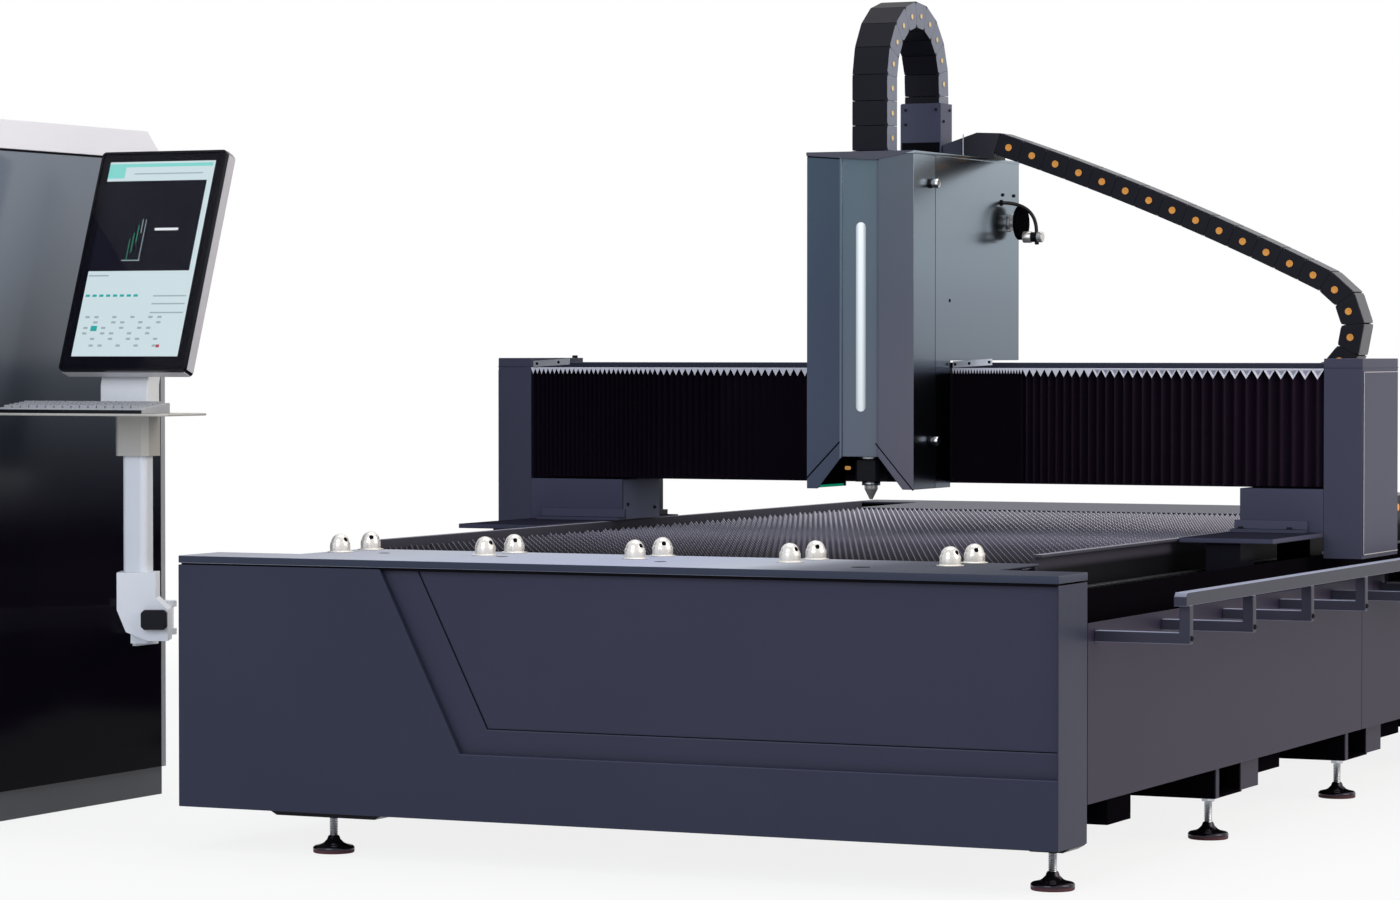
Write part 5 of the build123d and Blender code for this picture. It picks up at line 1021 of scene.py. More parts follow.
print("helpers: crease, pleats")

# %% [markdown]
# The pleats open on one side of the carriage while they close on the other. One blend over a
# whole side would ease in and out, and squeeze the pleats at its ends. So each side is made in
# three lengths, whose places are baked into their meshes.

# %% Both covers
def share(made, still, moving):
    """Bake the place of each of the three lengths into its mesh."""
    for sheet, _, x1, x2 in made:
        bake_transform(sheet)


def spread(x, counts):
    """Pleat edges from x[0] to x[1]: (number, first pitch, last pitch) groups, scaled to fit."""
    steps = []
    for count, first, last in counts:
        steps += [first + (last - first) * i / max(count - 1, 1) for i in range(count)]
    scale = (x[1] - x[0]) / sum(steps)
    edges = [x[0]]
    for step in steps:
        edges.append(edges[-1] + step * scale)
    return edges


for node, counts in (
    ("right_bellows", [(25, 8, 8), (31, 20, 33)]),
    ("left_bellows", [(28, 13, 14), (28, 18, 22.5)]),
):
    low, high = span(node)
    cloth = pleats(node + "_cloth", spread((low.x, high.x), counts), (low.z, high.z), low.y, node)
    if node == "right_bellows":
        share(cloth, high.x, low.x)
    else:
        share(cloth, low.x, high.x)
    tall = (high.z - low.z) / 1000
    for sheet, flat, _, _ in cloth:
        print(sheet.name, "cut", round(tall, 3), "by", round(flat, 3), "m")

# %% [markdown]
# ## Bed details
# The slats are strips of steel whose saw teeth carry the sheet. Their teeth could be a bump in
# the material, but they show against the light, so each slat is a toothed outline drawn out.

# %% Slats
TOOTH_PITCH, TOOTH_DEPTH = 16, 10
bm = bmesh.new()
for low, high in solids("slats"):
    count = round((high.x - low.x) / TOOTH_PITCH)
    pitch = (high.x - low.x) / count
    outline = [(low.x, low.z), (low.x, high.z - TOOTH_DEPTH)]
    for i in range(count):
        start = low.x + i * pitch
        outline += [(start + pitch / 2, high.z), (start + pitch, high.z - TOOTH_DEPTH)]
    outline.append((high.x, low.z))
    prism(bm, outline, "y", (low.y, high.y))
blades = piece("slat_blades", bm, [slat_steel], "bed")
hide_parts("slats")

# %% [markdown]
# The levelling feet are chromed bells on a rubber sole, with a threaded stem and a nut. The CAD's
# plain pads could be rounded by a modifier, but a bell, its hub and a thread need a profile of
# their own. They are turned parts, so here they are turned as well.

# %% Feet
THREAD_STEP, THREAD_DEEP, NUT_BELOW = 4, 1.2, 16
NUT = [(0, 0), (16.5, 0), (18, 1.5), (18, 10), (16.5, 12), (0, 12)]
bm = bmesh.new()
for box in solids("foot_pads"):
    place = middle(box)
    r = (box[1].x - box[0].x) / 2
    top = box[1].z
    sole_rim = [(0, 0), (r - 3, 0), (r - 1, 1.5), (r - 0.4, 7), (r - 0.4, 8)]
    bell = [(r, 9), (r, 12), (r - 1.5, 15), (r - 5, 17.5), (r - 12, 19), (r - 20, 21), (r - 26, 24),
            (r - 30, 28), (r - 34, top), (r - 36, top + 6), (r - 38, top + 9), (0, top + 9)]
    lathe(bm, sole_rim + bell, (place.x, place.y, box[0].z), "z", 40, (0, 0, 0, 0, 1))
pads = piece("foot_domes", bm, [sole, bell_steel], "bed")
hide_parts("foot_pads")

bm = bmesh.new()
for box in solids("foot_stems"):
    place = middle(box)
    r = (box[1].x - box[0].x) / 2
    tall = box[1].z - box[0].z
    profile = [(0, 0), (r, 0)]
    for z in range(0, int(tall // THREAD_STEP) * THREAD_STEP, THREAD_STEP):
        profile += [(r, z + 1), (r - THREAD_DEEP, z + 3)]
    profile += [(r, tall), (0, tall)]
    lathe(bm, profile, (place.x, place.y, box[0].z), "z", 20)
    lathe(bm, NUT, (place.x, place.y, box[0].z + tall - NUT_BELOW), "z", 6)
stems = piece("foot_screws", bm, [zinc], "bed")
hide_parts("foot_stems")

# %% [markdown]
# A ball unit is a pressed cup with a steel ball that lets a sheet roll over it. The CAD's cups
# have few sides, which shows on such bright metal, so cup and ball are turned again with more.
# A thin dark cap just proud of each ball makes its dark spot, so that it stays round.

# %% Ball units
BALL_R, CUP_R, HOLE_R, ROW_GAP = 22, 25, 5.5, 40
DOME_STEPS, DOME_FROM, HOLE_STEPS, HOLE_PROUD = 11, 4, 4, 0.25
cup_boxes = solids("ball_cups")
front_row = cup_boxes[0][0].y + ROW_GAP
bm = bmesh.new()
for box in cup_boxes:
    place = middle(box)
    flange = (box[1].x - box[0].x) / 2
    tall = box[1].z - box[0].z
    profile = [
        (0, 0), (flange - 1, 0), (flange, 1), (flange, 2), (flange - 1, 3), (CUP_R + 1, 3.5), (CUP_R, 5),
        (CUP_R, tall - 9), (CUP_R - 0.6, tall - 4), (CUP_R - 1.6, tall - 1), (BALL_R + 0.6, tall),
        (BALL_R - 0.4, tall - 0.6), (BALL_R - 1, tall - 3), (0, tall - 3),
    ]
    lathe(bm, profile, (place.x, place.y, box[0].z), "z", 32, (0,) * 11 + (1,))
cups = piece("ball_cup_rings", bm, [cream_steel, gap_dark], "bed")
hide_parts("ball_cups")

rise = [math.radians(DOME_FROM + (90 - DOME_FROM) * i / DOME_STEPS) for i in range(DOME_STEPS)]
dome = [(BALL_R * math.cos(a), BALL_R * math.sin(a)) for a in rise] + [(0, BALL_R)]
steps = [HOLE_R * i / HOLE_STEPS for i in range(HOLE_STEPS + 1)]
hole = [(r, math.sqrt((BALL_R + HOLE_PROUD) ** 2 - r ** 2)) for r in steps]
bm = bmesh.new()
for box in solids("transfer_balls"):
    place = middle(box)
    centre = Vector((place.x, place.y, box[1].z - BALL_R))
    lathe(bm, [(0, dome[0][1])] + dome, centre, "z", 32)
    way = (1, -0.35, 0.42) if place.y < front_row else (0.62, -0.9, 0.42)
    lathe(bm, hole + [(HOLE_R, BALL_R - 2), (0, BALL_R - 2)], centre, way, 20, (1,))
balls = piece("ball_domes", bm, [cream_steel, gap_dark], "bed")
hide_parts("transfer_balls")

# %% [markdown]
# Slanted sheets lead slag and sparks from the table's channels into the trays. Single faces
# would do from above, but these are sheet metal with two sides, so they are prisms with a
# thickness.

# %% Slag sheets
TABLE_LEDGE, LEDGE_UNDER, DECK_UNDER, TRAY_EDGE = 822, 593.8, 686.8, 515
END_HALF, END_GAP = 872, 7
tray_high = span("slag_trays")[1]
table_low, table_high = span("table_frame")
foot = tray_high.x + 0.5
side = [(TABLE_LEDGE, LEDGE_UNDER), (TABLE_LEDGE + 3, LEDGE_UNDER), (foot + 2.5, TRAY_EDGE),
        (foot, TRAY_EDGE)]
end = [(-5, LEDGE_UNDER + 0.4), (-3, LEDGE_UNDER + 0.4), (14, DECK_UNDER), (12, DECK_UNDER)]
bm = bmesh.new()
for way in (-1, 1):
    prism(bm, [(way * x, z) for x, z in side], "y", (table_low.y + END_GAP, table_high.y - END_GAP))
for y0, way in ((table_low.y, -1), (table_high.y, 1)):
    prism(bm, [(y0 + way * y, z) for y, z in end], "x", (-END_HALF, END_HALF))
piece("slag_sheets", bm, [tray_steel], "bed")

# %% [markdown]
# A black strip closes the gap under the loading plate and paints the shade in it, and dark discs
# paint the shade in the plate's holes. Flanges edge the ends of the cross beams, with a web and a
# dark box behind them that paints the shade under the bed. The beams' places come from the solids
# of the frame, so that each end gets its plates wherever the beam lies.

# %% Seal and beam ends
GAP_STRIP_IN, GAP_STRIP_WIDE, GAP_STRIP_FRONT, GAP_STRIP_SIDE = 6, 6, (5, 12), (12, 180)
PLATE_HOLES = ((-732, 309, 14), (-390, 273, 14), (60, 210, 14), (582, 173, 22))
plate_low, plate_high = span("loading_plate")
gap_strip_x = (plate_low.x + GAP_STRIP_IN, plate_high.x - GAP_STRIP_IN)
gap_strip_z = (plate_low.z - 7, plate_low.z + 2)
bm = bmesh.new()
# a dark strip paints the shadow in the gap under the plate
bar(bm, gap_strip_x, GAP_STRIP_FRONT, gap_strip_z)
for x in (gap_strip_x[0], gap_strip_x[1] - GAP_STRIP_WIDE):
    bar(bm, (x, x + GAP_STRIP_WIDE), GAP_STRIP_SIDE, gap_strip_z)
# dark discs paint the shade in the plate's holes
for x, y, r in PLATE_HOLES:
    lathe(bm, [(0, -4), (r, -4), (r, 0.3), (0, 0.3)], (x, y, plate_high.z), "z", 28)
piece("plate_gap_shade", bm, [gap_dark], "bed")

BEAM_LONG, BEAM_DEEP, FLANGE, WEB = 2100, 180, 3, 4
FRONT_LIP, BACK_LIP, WEB_END, BOX_END, BOX_REACH, BOX_LIFT = 24, 8, 140, 320, 160, 34
bm = bmesh.new()
for low, high in solids("bed_frame"):
    if high.x - low.x > BEAM_LONG and high.y - low.y > BEAM_DEEP:
        for x, way in ((low.x, -1), (high.x, 1)):
            flange = sorted((x, x + FLANGE * way))
            web = sorted((x, x - WEB * way))
            inner = sorted((x - 2 * way, x - BOX_REACH * way))
            bar(bm, flange, (low.y, low.y + FRONT_LIP), (low.z + 1, high.z - 1))
            bar(bm, flange, (high.y - BACK_LIP, high.y), (low.z + 1, high.z - 1))
            bar(bm, web, (high.y + 2, high.y + WEB_END), (low.z + WEB, high.z))
            # the dark box paints the shade under the bed
            bar(bm, inner, (high.y + WEB_END, high.y + BOX_END), (low.z + BOX_LIFT, high.z), 1)
piece("beam_end_flanges", bm, [side_slate, black_paint_and_shade], "bed")

# %% [markdown]
# The front panel is folded: light catches its lower edges, and shade lies in its folds. Rounded
# edges alone are too fine to show that, so thin light and dark strips run along the folds. The
# front feet stand under plates that taper at both ends.

# %% Front panel edges and foot plates
BELT_Z, FIELD_Z, SLANT_X, FIELD_X, FIELD_TOP_X = 257, 315, -358, -295, -480
EDGE_TALL, SLANT_WIDE, SHADOW_TALL = 2.6, 3, 2.4
inset_low, inset_high = span("front_inset_panel")
field_y, right, top = inset_low.y, inset_high.x, inset_high.z - 1
bm = bmesh.new()
for x, z, y in ((FIELD_X, FIELD_Z, field_y), (SLANT_X, BELT_Z, 0)):
    edge = [(x, z), (right, z), (right, z - EDGE_TALL), (x - 1, z - EDGE_TALL)]
    prism(bm, edge, "y", (y - 0.4, y + 0.6), 0)
slant = [(FIELD_X, FIELD_Z), (FIELD_X + SLANT_WIDE, FIELD_Z), (FIELD_TOP_X + SLANT_WIDE, top),
         (FIELD_TOP_X, top)]
base = [(FIELD_X, FIELD_Z), (right, FIELD_Z), (right, FIELD_Z + SHADOW_TALL),
        (FIELD_X, FIELD_Z + SHADOW_TALL)]
for shadow in (slant, base):
    prism(bm, shadow, "y", (field_y - 0.2, field_y + 0.6), 1)
piece("front_panel_edges", bm, [gantry_slate, gap_dark], "bed")

PLATE_TOP, PLATE_EDGE, PLATE_UNDER, PLATE_TAPER = 104, 96, 87, 16
LEFT_REACH, RIGHT_REACH, BEFORE_FOOT, BEHIND_FOOT = 150, 54, 40, 60
front_feet = sorted((middle(box) for box in solids("foot_stems")), key=lambda c: c.y)[:2]
bm = bmesh.new()
for foot in front_feet:
    reach = LEFT_REACH if foot.x < 0 else RIGHT_REACH
    half = [(reach, PLATE_TOP), (reach, PLATE_EDGE), (reach - PLATE_TAPER, PLATE_UNDER)]
    outline = [(foot.x - half[0][0], PLATE_TOP)] + [(foot.x + x, z) for x, z in half]
    outline += [(foot.x - x, z) for x, z in half[:0:-1]]
    prism(bm, outline, "y", (foot.y - BEFORE_FOOT, foot.y + BEHIND_FOOT))
piece("front_foot_plates", bm, [motor_black], "bed")

# %% [markdown]
# ## Head and casing details
# The casing is folded sheet. Knobs hold its front cover, the lid's flange is cut to a shallow V
# over the cover's folds, and dark lines mark where sheets meet; along the cover's folds they also
# paint the shade in the fold. Such a line could be a dark stroke in the material, but a thin strip
# keeps its width from every side.

# %% Casing knobs, lid flange and seams
KNOB_IN, KNOB_LOW, KNOB_HIGH = 37, 126, 75
KNOB_FOOT = [(0, 0), (13, 0), (13, 4), (12, 6), (0, 6)]
KNOB_GRIP = [(0, 6), (9, 6), (9, 10), (12, 11), (12.5, 13), (12.5, 23), (11.5, 25), (0, 25.5)]
cover_low, cover_high = span("casing_front_cover")
bm = bmesh.new()
for z in (cover_low.z + KNOB_LOW, cover_high.z - KNOB_HIGH):
    centre = (side_x, cover_high.y - KNOB_IN, z)
    lathe(bm, KNOB_FOOT, centre, "x", 24, (1,))
    lathe(bm, KNOB_GRIP, centre, "x", 24, (0,))
piece("cover_knobs", bm, [chrome, motor_black], "carriage")

FOLD_1, FOLD_2 = -92, 10.6
lid_z = casing_high.z
flange = [
    (casing_low.x, lid_z), (casing_low.x, lid_z - 9), (FOLD_1, lid_z - 16), (-6, lid_z - 22),
    (FOLD_2, lid_z - 22), (74, lid_z - 12), (casing_high.x, lid_z - 1), (casing_high.x, lid_z),
]
bm = bmesh.new()
prism(bm, flange, "y", (casing_low.y - 0.8, casing_low.y + 1.2))
piece("lid_flange", bm, [lid_coat], "carriage")

PORT_Y, PORT_Z, PORT_R = 1866, 1330, 4.5
bm = bmesh.new()
for (xa, za), (xb, zb), half in (
    ((-186, 860), (FOLD_1, 956), 2),
    ((FOLD_2, 953), (118, 830), 1.6),
    ((casing_low.x + 3, lid_z - 11.5), (FOLD_1, lid_z - 18.5), 1.6),
):
    run = math.hypot(xb - xa, zb - za)
    nx, nz = -half * (zb - za) / run, half * (xb - xa) / run
    outline = [(xa + nx, za + nz), (xb + nx, zb + nz), (xb - nx, zb - nz), (xa - nx, za - nz)]
    prism(bm, outline, "y", (cover_low.y - 0.3, cover_low.y + 0.5))
seam_y = (cover_high.y - 0.8, cover_high.y + 0.8)
bar(bm, (side_x - 0.4, side_x + 0.3), seam_y, (cover_low.z, cover_high.z))
port = [(0, 0.3), (PORT_R, 0.3), (PORT_R, -0.5), (0, -0.5)]
lathe(bm, port, (casing_high.x, PORT_Y, PORT_Z), "x", 16)
piece("cover_fold_lines", bm, [gap_dark], "carriage")

# %% [markdown]
# Seen from below, the casing is dark inside, and thin black plates on its walls paint that shade.
# A green lamp runs along its lower edge, and a small amber part glows, painted light that keeps it
# bright in the shade. The walls could take a second material, but the CAD mesh is not changed here.

# %% Inside of the casing
CASING_WALL, SHADE_SHEET, SHADE_SHEET_Y = 4, 0.3, (1618, 1866)
GREEN_Y, AMBER_Y, AMBER_Z = (1690, 1850), 1866, 880
AMBER_GLOW_SHAPE = [(0, 0), (5, 0), (5, 12), (4, 14), (0, 14)]
status_green = lit("green status lamp", "#0E7F60", 0.9)
amber_glow = lit("glowing amber part", "#B98549", 0.9)
inner = casing_low.x + CASING_WALL
bm = bmesh.new()
# black sheets on the walls paint the shade inside the casing
for x in (inner, casing_high.x - CASING_WALL - SHADE_SHEET):
    bar(bm, (x, x + SHADE_SHEET), SHADE_SHEET_Y, (cover_low.z + 1, cover_high.z - 4), 0)
bar(bm, (inner, inner + 1.5), GREEN_Y, (cover_low.z + 0.5, cover_low.z + 7), 1)
# the amber part glows as painted light
lathe(bm, AMBER_GLOW_SHAPE, (inner, AMBER_Y, AMBER_Z), "x", 16, (2,))
piece("casing_painted_shade", bm, [black_paint_and_shade, status_green, amber_glow], "carriage")

# %% [markdown]
# A pale bracket ties each bellows to its end. It is a strip of zinc-plated sheet that climbs a
# little to the right. A box could be turned to that slope, but an outline with slanted edges
# keeps its ends upright.

# %% Bellows ties
TIE_LONG, TIE_TALL, TIE_RISE = 112, 17, 7
TIE_SCREW = [(0, 0.2), (4, 0.2), (4, -0.8), (3, -0.8), (2.5, -0.2), (0, -0.2)]
bellows_low, bellows_high = span("right_bellows")
tie_y = (bellows_low.y - 5, bellows_low.y - 2)


def tie(x0, body, name, holes):
    """A pale strip over a bellows' hem that climbs a little to the right, with screw heads."""
    bm = bmesh.new()
    z0 = bellows_high.z + 1
    z1 = z0 + TIE_RISE
    outline = [(x0, z0), (x0 + TIE_LONG, z1), (x0 + TIE_LONG, z1 + TIE_TALL), (x0, z0 + TIE_TALL)]
    prism(bm, outline, "y", tie_y)
    for part in holes:
        centre = (x0 + part * TIE_LONG, tie_y[0], z0 + part * TIE_RISE + TIE_TALL / 2)
        lathe(bm, TIE_SCREW, centre, "y", 14, (1,))
    piece(name, bm, [zinc, gap_dark], body)


tie(side_x + 5, "carriage", "right_bellows_tie", (0.06, 0.42, 0.93))
tie(span("left_bellows")[0].x + 10, "gantry", "left_bellows_tie", (0.1, 0.7))

# %% [markdown]
# The gas valve on the casing's side has a black disc, a collar and the silver fittings of its
# outlet. They are turned parts, so each is one profile with real radii, turned about the valve's
# axis, and a rod joins the disc to the hose.

# %% Valve fittings
DISC_BACK, DISC_FACE, DISC_SKIN, COLLAR_OFF, PLUG_OFF = 26, 40, 0.6, 1, 79
r = DISC_R + DISC_SKIN
DISC = [(18, -0.5), (DISC_R, -0.5), (r, 1), (r, 13.5), (r - 1, 14.6), (DISC_R - 9, 14.6),
        (DISC_R - 10, 14.4), (0, 14.4)]
COLLAR = [(0, 0), (24, 0), (24, 5), (19.5, 7), (19.5, 12), (23, 14), (23, 21), (20, 24), (0, 24)]
SLEEVE = [(12.5, 0), (15, 0), (16, 1), (16, 22), (15, 24), (12.5, 24)]
NECK = [(12.5, 24), (13.8, 24), (13.8, 41), (12.5, 41)]
KNOB = [(0, 41), (14, 41), (15, 42), (15, 54), (13.6, 56), (0, 56.5)]
PLUG_END = [(0, 10), (5.5, 10), (6, 11), (6, 19), (4.5, 21), (0, 21)]
GLAND = [(0, 0), (8, 0), (8.5, 0.6), (8.5, 3.2), (7.5, 4), (0, 4)]
outlet = (side_x + DISC_FACE + 0.5, valve_y, valve_z - OUTLET_DROP)
plug = (side_x + PLUG_OFF, *outlet[1:])
bm = bmesh.new()
lathe(bm, DISC, (side_x + DISC_BACK, valve_y, valve_z), "x", 40, (2,))
lathe(bm, COLLAR, (side_x + COLLAR_OFF, valve_y, valve_z), "x", 32)
lathe(bm, SLEEVE, outlet, "x", 32)
lathe(bm, NECK, outlet, "x", 32, (1,))
lathe(bm, KNOB, outlet, "x", 18)
lathe(bm, PLUG_END, plug, (0, 0, -1), 16, (1,))
lathe(bm, GLAND, (side_x, *hose_route[0][1:]), "x", 20, (1,))

STEM_R, STEM_SHARE = 3.6, 0.46
stem_top = Vector(hose_route[0]).lerp(Vector(hose_route[1]), STEM_SHARE) - Vector((0, 0, HOSE_R))
stem_low = Vector((side_x + DISC_BACK + 6, valve_y - 4, valve_z + DISC_R - 4))
stem = stem_low - stem_top
rod = [(0, 0), (STEM_R, 0), (STEM_R, stem.length), (0, stem.length)]
lathe(bm, rod, stem_top, tuple(stem), 12, (1,))
for y in (valve_y - 56, valve_y + 28):
    bolt(bm, (side_x, y, valve_z + 76), "x", 4.5, 1, 1)
piece("valve_fittings", bm, [nickel, motor_black, black_paint_and_shade], "carriage")

# %% [markdown]
# Two bright rings sit on the cutting head, one low on its body and one above its nozzle. A colour
# band in the material could show them, but they stand proud of the head, so they are turned.

# %% Head rings
BODY_RING = [(33, 0), (36, 0), (37, 1), (37, 17), (36, 18), (33, 18), (33, 0)]
NOZZLE_RING = [(19, 0), (24, 0), (24.5, 1), (24.5, 8), (24, 9), (19, 9), (19, 0)]
nozzle = span("nozzle")
head = middle(nozzle)
bm = bmesh.new()
lathe(bm, BODY_RING, (head.x, head.y, span("cutting_head")[0].z + 60), "z", 36)
lathe(bm, NOZZLE_RING, (head.x, head.y, nozzle[1].z - 10), "z", 32)
piece("head_rings", bm, [alloy], "head_slide")

# %% [markdown]
# ## Plates and screws
# Sheet parts are held by screws and edged by thin plates, and these small things give the big
# plain faces their scale. Each screw is a turned head with a socket, standing on its face.

# %% Bracket screws
BRACKET_BOLT, EDGE_IN, TOP_IN = 4, 14, 18
(low, high), (cross_low, cross_high) = sorted(solids("chain_brackets"), key=lambda b: b[0].x)
left, right, top, front = low.x, high.x, high.z, low.y
bm = bmesh.new()
for x, z in ((left + EDGE_IN, top - TOP_IN), (right - EDGE_IN, top - TOP_IN), (left + EDGE_IN, top - 58)):
    bolt(bm, (x, front, z), "y", BRACKET_BOLT, -1)
for y, z in ((front + 20, top - 50), (high.y - 20, top - TOP_IN)):
    bolt(bm, (right, y, z), "x", BRACKET_BOLT)
bar(bm, (left + 3, right - 3), (front - 0.6, front + 0.5), (low.z + 1, low.z + 50), 1)
bar(bm, (left - 2.5, left), (front - 2, front + 40), (low.z + 1, top - 2), 2)
x, y = cross_low.x + 60, cross_low.y
bar(bm, (x, x + 3), (y - 0.6, y + 0.5), (cross_low.z + 1, cross_high.z - 4), 2)
piece("bracket_screws", bm, [motor_black, gap_dark, zinc], "carriage")

# %% [markdown]
# Each column has a cap with a fine line under it, and an outer skin whose edges are thin silver
# strips, painted highlights. The skin could be a part of the CAD, but it is only two millimetres
# thick and carries nothing, so it is laid on here as thin plates.

# %% Column plates
CAP_LINE, SKIN_TOP, SKIN_FOOT, SKIN_FRONT, SKIN_BACK = (25, 23.4), 34, 10, 5, 8
columns = solids("end_columns")
bm = bmesh.new()
for low, high in columns:
    cap = (high.z - CAP_LINE[0], high.z - CAP_LINE[1])
    bar(bm, (low.x - 0.8, high.x + 0.8), (low.y - 0.8, high.y + 0.8), cap, 1)
    outer, way = (high.x, 1) if high.x > 0 else (low.x, -1)
    skin = sorted((outer, outer + 2 * way))
    edge = sorted((outer, outer + 3 * way))
    y = (low.y + SKIN_FRONT, high.y - SKIN_BACK)
    z = (low.z + SKIN_FOOT, high.z - SKIN_TOP)
    bar(bm, skin, y, z, 0)
    # silver strips paint the highlights on the skin's edges
    bar(bm, edge, y, (z[1] - 1.5, z[1]), 2)
    bar(bm, edge, y, (z[0], z[0] + 2), 2)
    bar(bm, edge, (y[0], y[0] + 1.5), z, 2)
corner = columns[0][1]
bolt(bm, (corner.x - 8, corner.y - 36, corner.z), "z", 8, 1, 3)
piece("column_plates", bm, [gantry_slate, slate, silver, motor_black], "gantry")

# %% [markdown]
# Screws hold the saddles' flanges and the arms of the chain shelf. Their places are read from
# the solids they sit on. The left saddle also has a paler side plate, painted light that lifts the
# beam's shadow on that face.

# %% Saddle and shelf screws
FLANGE_BOLT, FLANGE_Y, FLANGE_TOP, SIDE_BOLT, ARM_BOLT, ARM_DEEP = 7, 1850, 736, 5, 6, 100
PLATE_Y, PLATE_Z = (1890, 2117), (729, 837)
left_saddle, right_saddle = solids("saddles")
box_x = left_saddle[1].x - 12
bm = bmesh.new()
for x in (right_saddle[0].x + 32, right_saddle[1].x - 81):
    bolt(bm, (x, FLANGE_Y, FLANGE_TOP), "z", FLANGE_BOLT)
for y, z in ((1915, 770), (2085, 757)):
    bolt(bm, (box_x, y, z), "x", SIDE_BOLT)
bar(bm, (box_x - 0.2, box_x + 0.4), PLATE_Y, PLATE_Z, 1)
piece("saddle_screws", bm, [motor_black, painted_light_slate], "gantry")

bm = bmesh.new()
for low, high in solids("chain_shelf"):
    if high.y - low.y < ARM_DEEP:
        bolt(bm, (high.x, (low.y + high.y) / 2, low.z + 12), "x", ARM_BOLT)
piece("shelf_screws", bm, [motor_black], "bed")

# %% [markdown]
# ## Operator's screen and keyboard
# The screen shows a plain drawing program without words: a pale page, a dark canvas with a
# small outline, rows of blank keys and a few coloured marks. A picture on the glass would need
# an image file, so every mark is a thin plate behind the glass, and its colour glows through a
# fine grid of display dots.

# %% Screen
ui_mats = [lit("display " + name, colour, strength) for name, colour, strength in (
    ("off", "#100F1B", 0.5), ("page", "#D0E2E7", 1.0), ("teal", "#86D8D2", 1.0),
    ("canvas", "#1A1927", 0.7), ("grey", "#9DB0B8", 1.0), ("green", "#3F9C7C", 1.0),
    ("white", "#E8EDF2", 1.0), ("red", "#B5485A", 1.0), ("deep teal", "#2FA8A6", 1.0),
)]
OFF, PAGE, TEAL, CANVAS, GREY, GREEN, WHITE, RED, DEEP = range(9)
LEAN, LOW_EDGE_Z = math.radians(20.6), 1146
SCREEN_X, SCREEN_Z, SCREEN_Y, LAYER = (-158, 156), (40, 570), 3.96, 0.03
housing_low, housing_high = span("monitor_housing")
LOW_EDGE = ((housing_low.x + housing_high.x) / 2, housing_low.y, LOW_EDGE_Z)


def lean(verts):
    """Put corners drawn on an upright screen onto the leaning one."""
    for vert in verts:
        x, y, z = vert.co
        vert.co = (
            LOW_EDGE[0] + x,
            LOW_EDGE[1] + y * math.cos(LEAN) + z * math.sin(LEAN),
            LOW_EDGE[2] - y * math.sin(LEAN) + z * math.cos(LEAN),
        )


def mark(bm, u, v, layer, mat):
    """A plate over shares of the screen's width and of its height from the top."""
    width = SCREEN_X[1] - SCREEN_X[0]
    tall = SCREEN_Z[1] - SCREEN_Z[0]
    x = (SCREEN_X[0] + u[0] * width, SCREEN_X[0] + u[1] * width)
    z = (SCREEN_Z[1] - v[1] * tall, SCREEN_Z[1] - v[0] * tall)
    depth = SCREEN_Y - LAYER * layer
    lean(bar(bm, x, (depth, depth + 0.02), z, mat))


print("screen of", SCREEN_X[1] - SCREEN_X[0], "by", SCREEN_Z[1] - SCREEN_Z[0], "mm")

# %% Marks on the screen
bm = bmesh.new()
lean(bar(bm, (-179, 179), (SCREEN_Y, SCREEN_Y + LAYER), (7, 590), OFF))
for u, v, layer, mat in (
    ((0, 1), (0, 1), 1, PAGE), ((0, 0.16), (0.01, 0.085), 2, TEAL),
    ((0.16, 0.98), (0.01, 0.028), 2, TEAL), ((0.25, 0.9), (0.06, 0.066), 2, GREY),
    ((0, 0.95), (0.1, 0.565), 2, CANVAS), ((0.55, 0.77), (0.345, 0.358), 3, WHITE),
    ((0.33, 0.335), (0.40, 0.51), 3, GREEN), ((0.36, 0.366), (0.37, 0.47), 3, GREEN),
    ((0.39, 0.397), (0.33, 0.42), 3, GREEN), ((0.42, 0.427), (0.3, 0.37), 3, GREY),
    ((0.45, 0.456), (0.3, 0.51), 3, GREY), ((0.29, 0.46), (0.508, 0.513), 3, GREY),
    ((0.01, 0.2), (0.585, 0.592), 2, GREY),
):
    mark(bm, u, v, layer, mat)
for i in range(8):
    mark(bm, (0.02 + i * 0.065, 0.06 + i * 0.065), (0.685, 0.697), 2, DEEP)
for v in (0.69, 0.73, 0.775):
    mark(bm, (0.66, 0.97), (v, v + 0.007), 2, GREY)
for row, v in enumerate((0.795, 0.822, 0.85, 0.878, 0.906, 0.94)):
    for i in range(9):
        if (row * 5 + i * 3) % 7 < 4:
            mark(bm, (0.06 + i * 0.085, 0.1 + i * 0.085), (v, v + 0.011), 2, GREY)
mark(bm, (0.13, 0.19), (0.845, 0.872), 3, DEEP)
mark(bm, (0.78, 0.81), (0.94, 0.955), 3, RED)
piece("screen_display", bm, ui_mats, "monitor")

# %% [markdown]
# A silver edge runs round the monitor's black case. It could be a second colour on the case, but
# a thin frame just outside it catches the light as the real one does.

# %% Monitor edge
EDGE_Y, SIDES, ENDS = (12, 42), (8, 589), (-180, 180)
bm = bmesh.new()
for x, z in (((-186.8, -184), SIDES), ((184, 186.8), SIDES), (ENDS, (-0.8, 2)), (ENDS, (595, 597.8))):
    lean(bar(bm, x, EDGE_Y, z))
piece("monitor_edge", bm, [silver], "monitor")

# %% [markdown]
# A dark seam lies between the console's panel and its cap, and behind the panel a pale grey strip
# paints light onto the cabinet's shaded edge. A rounded edge is too fine to show either, so they
# are narrow plates.

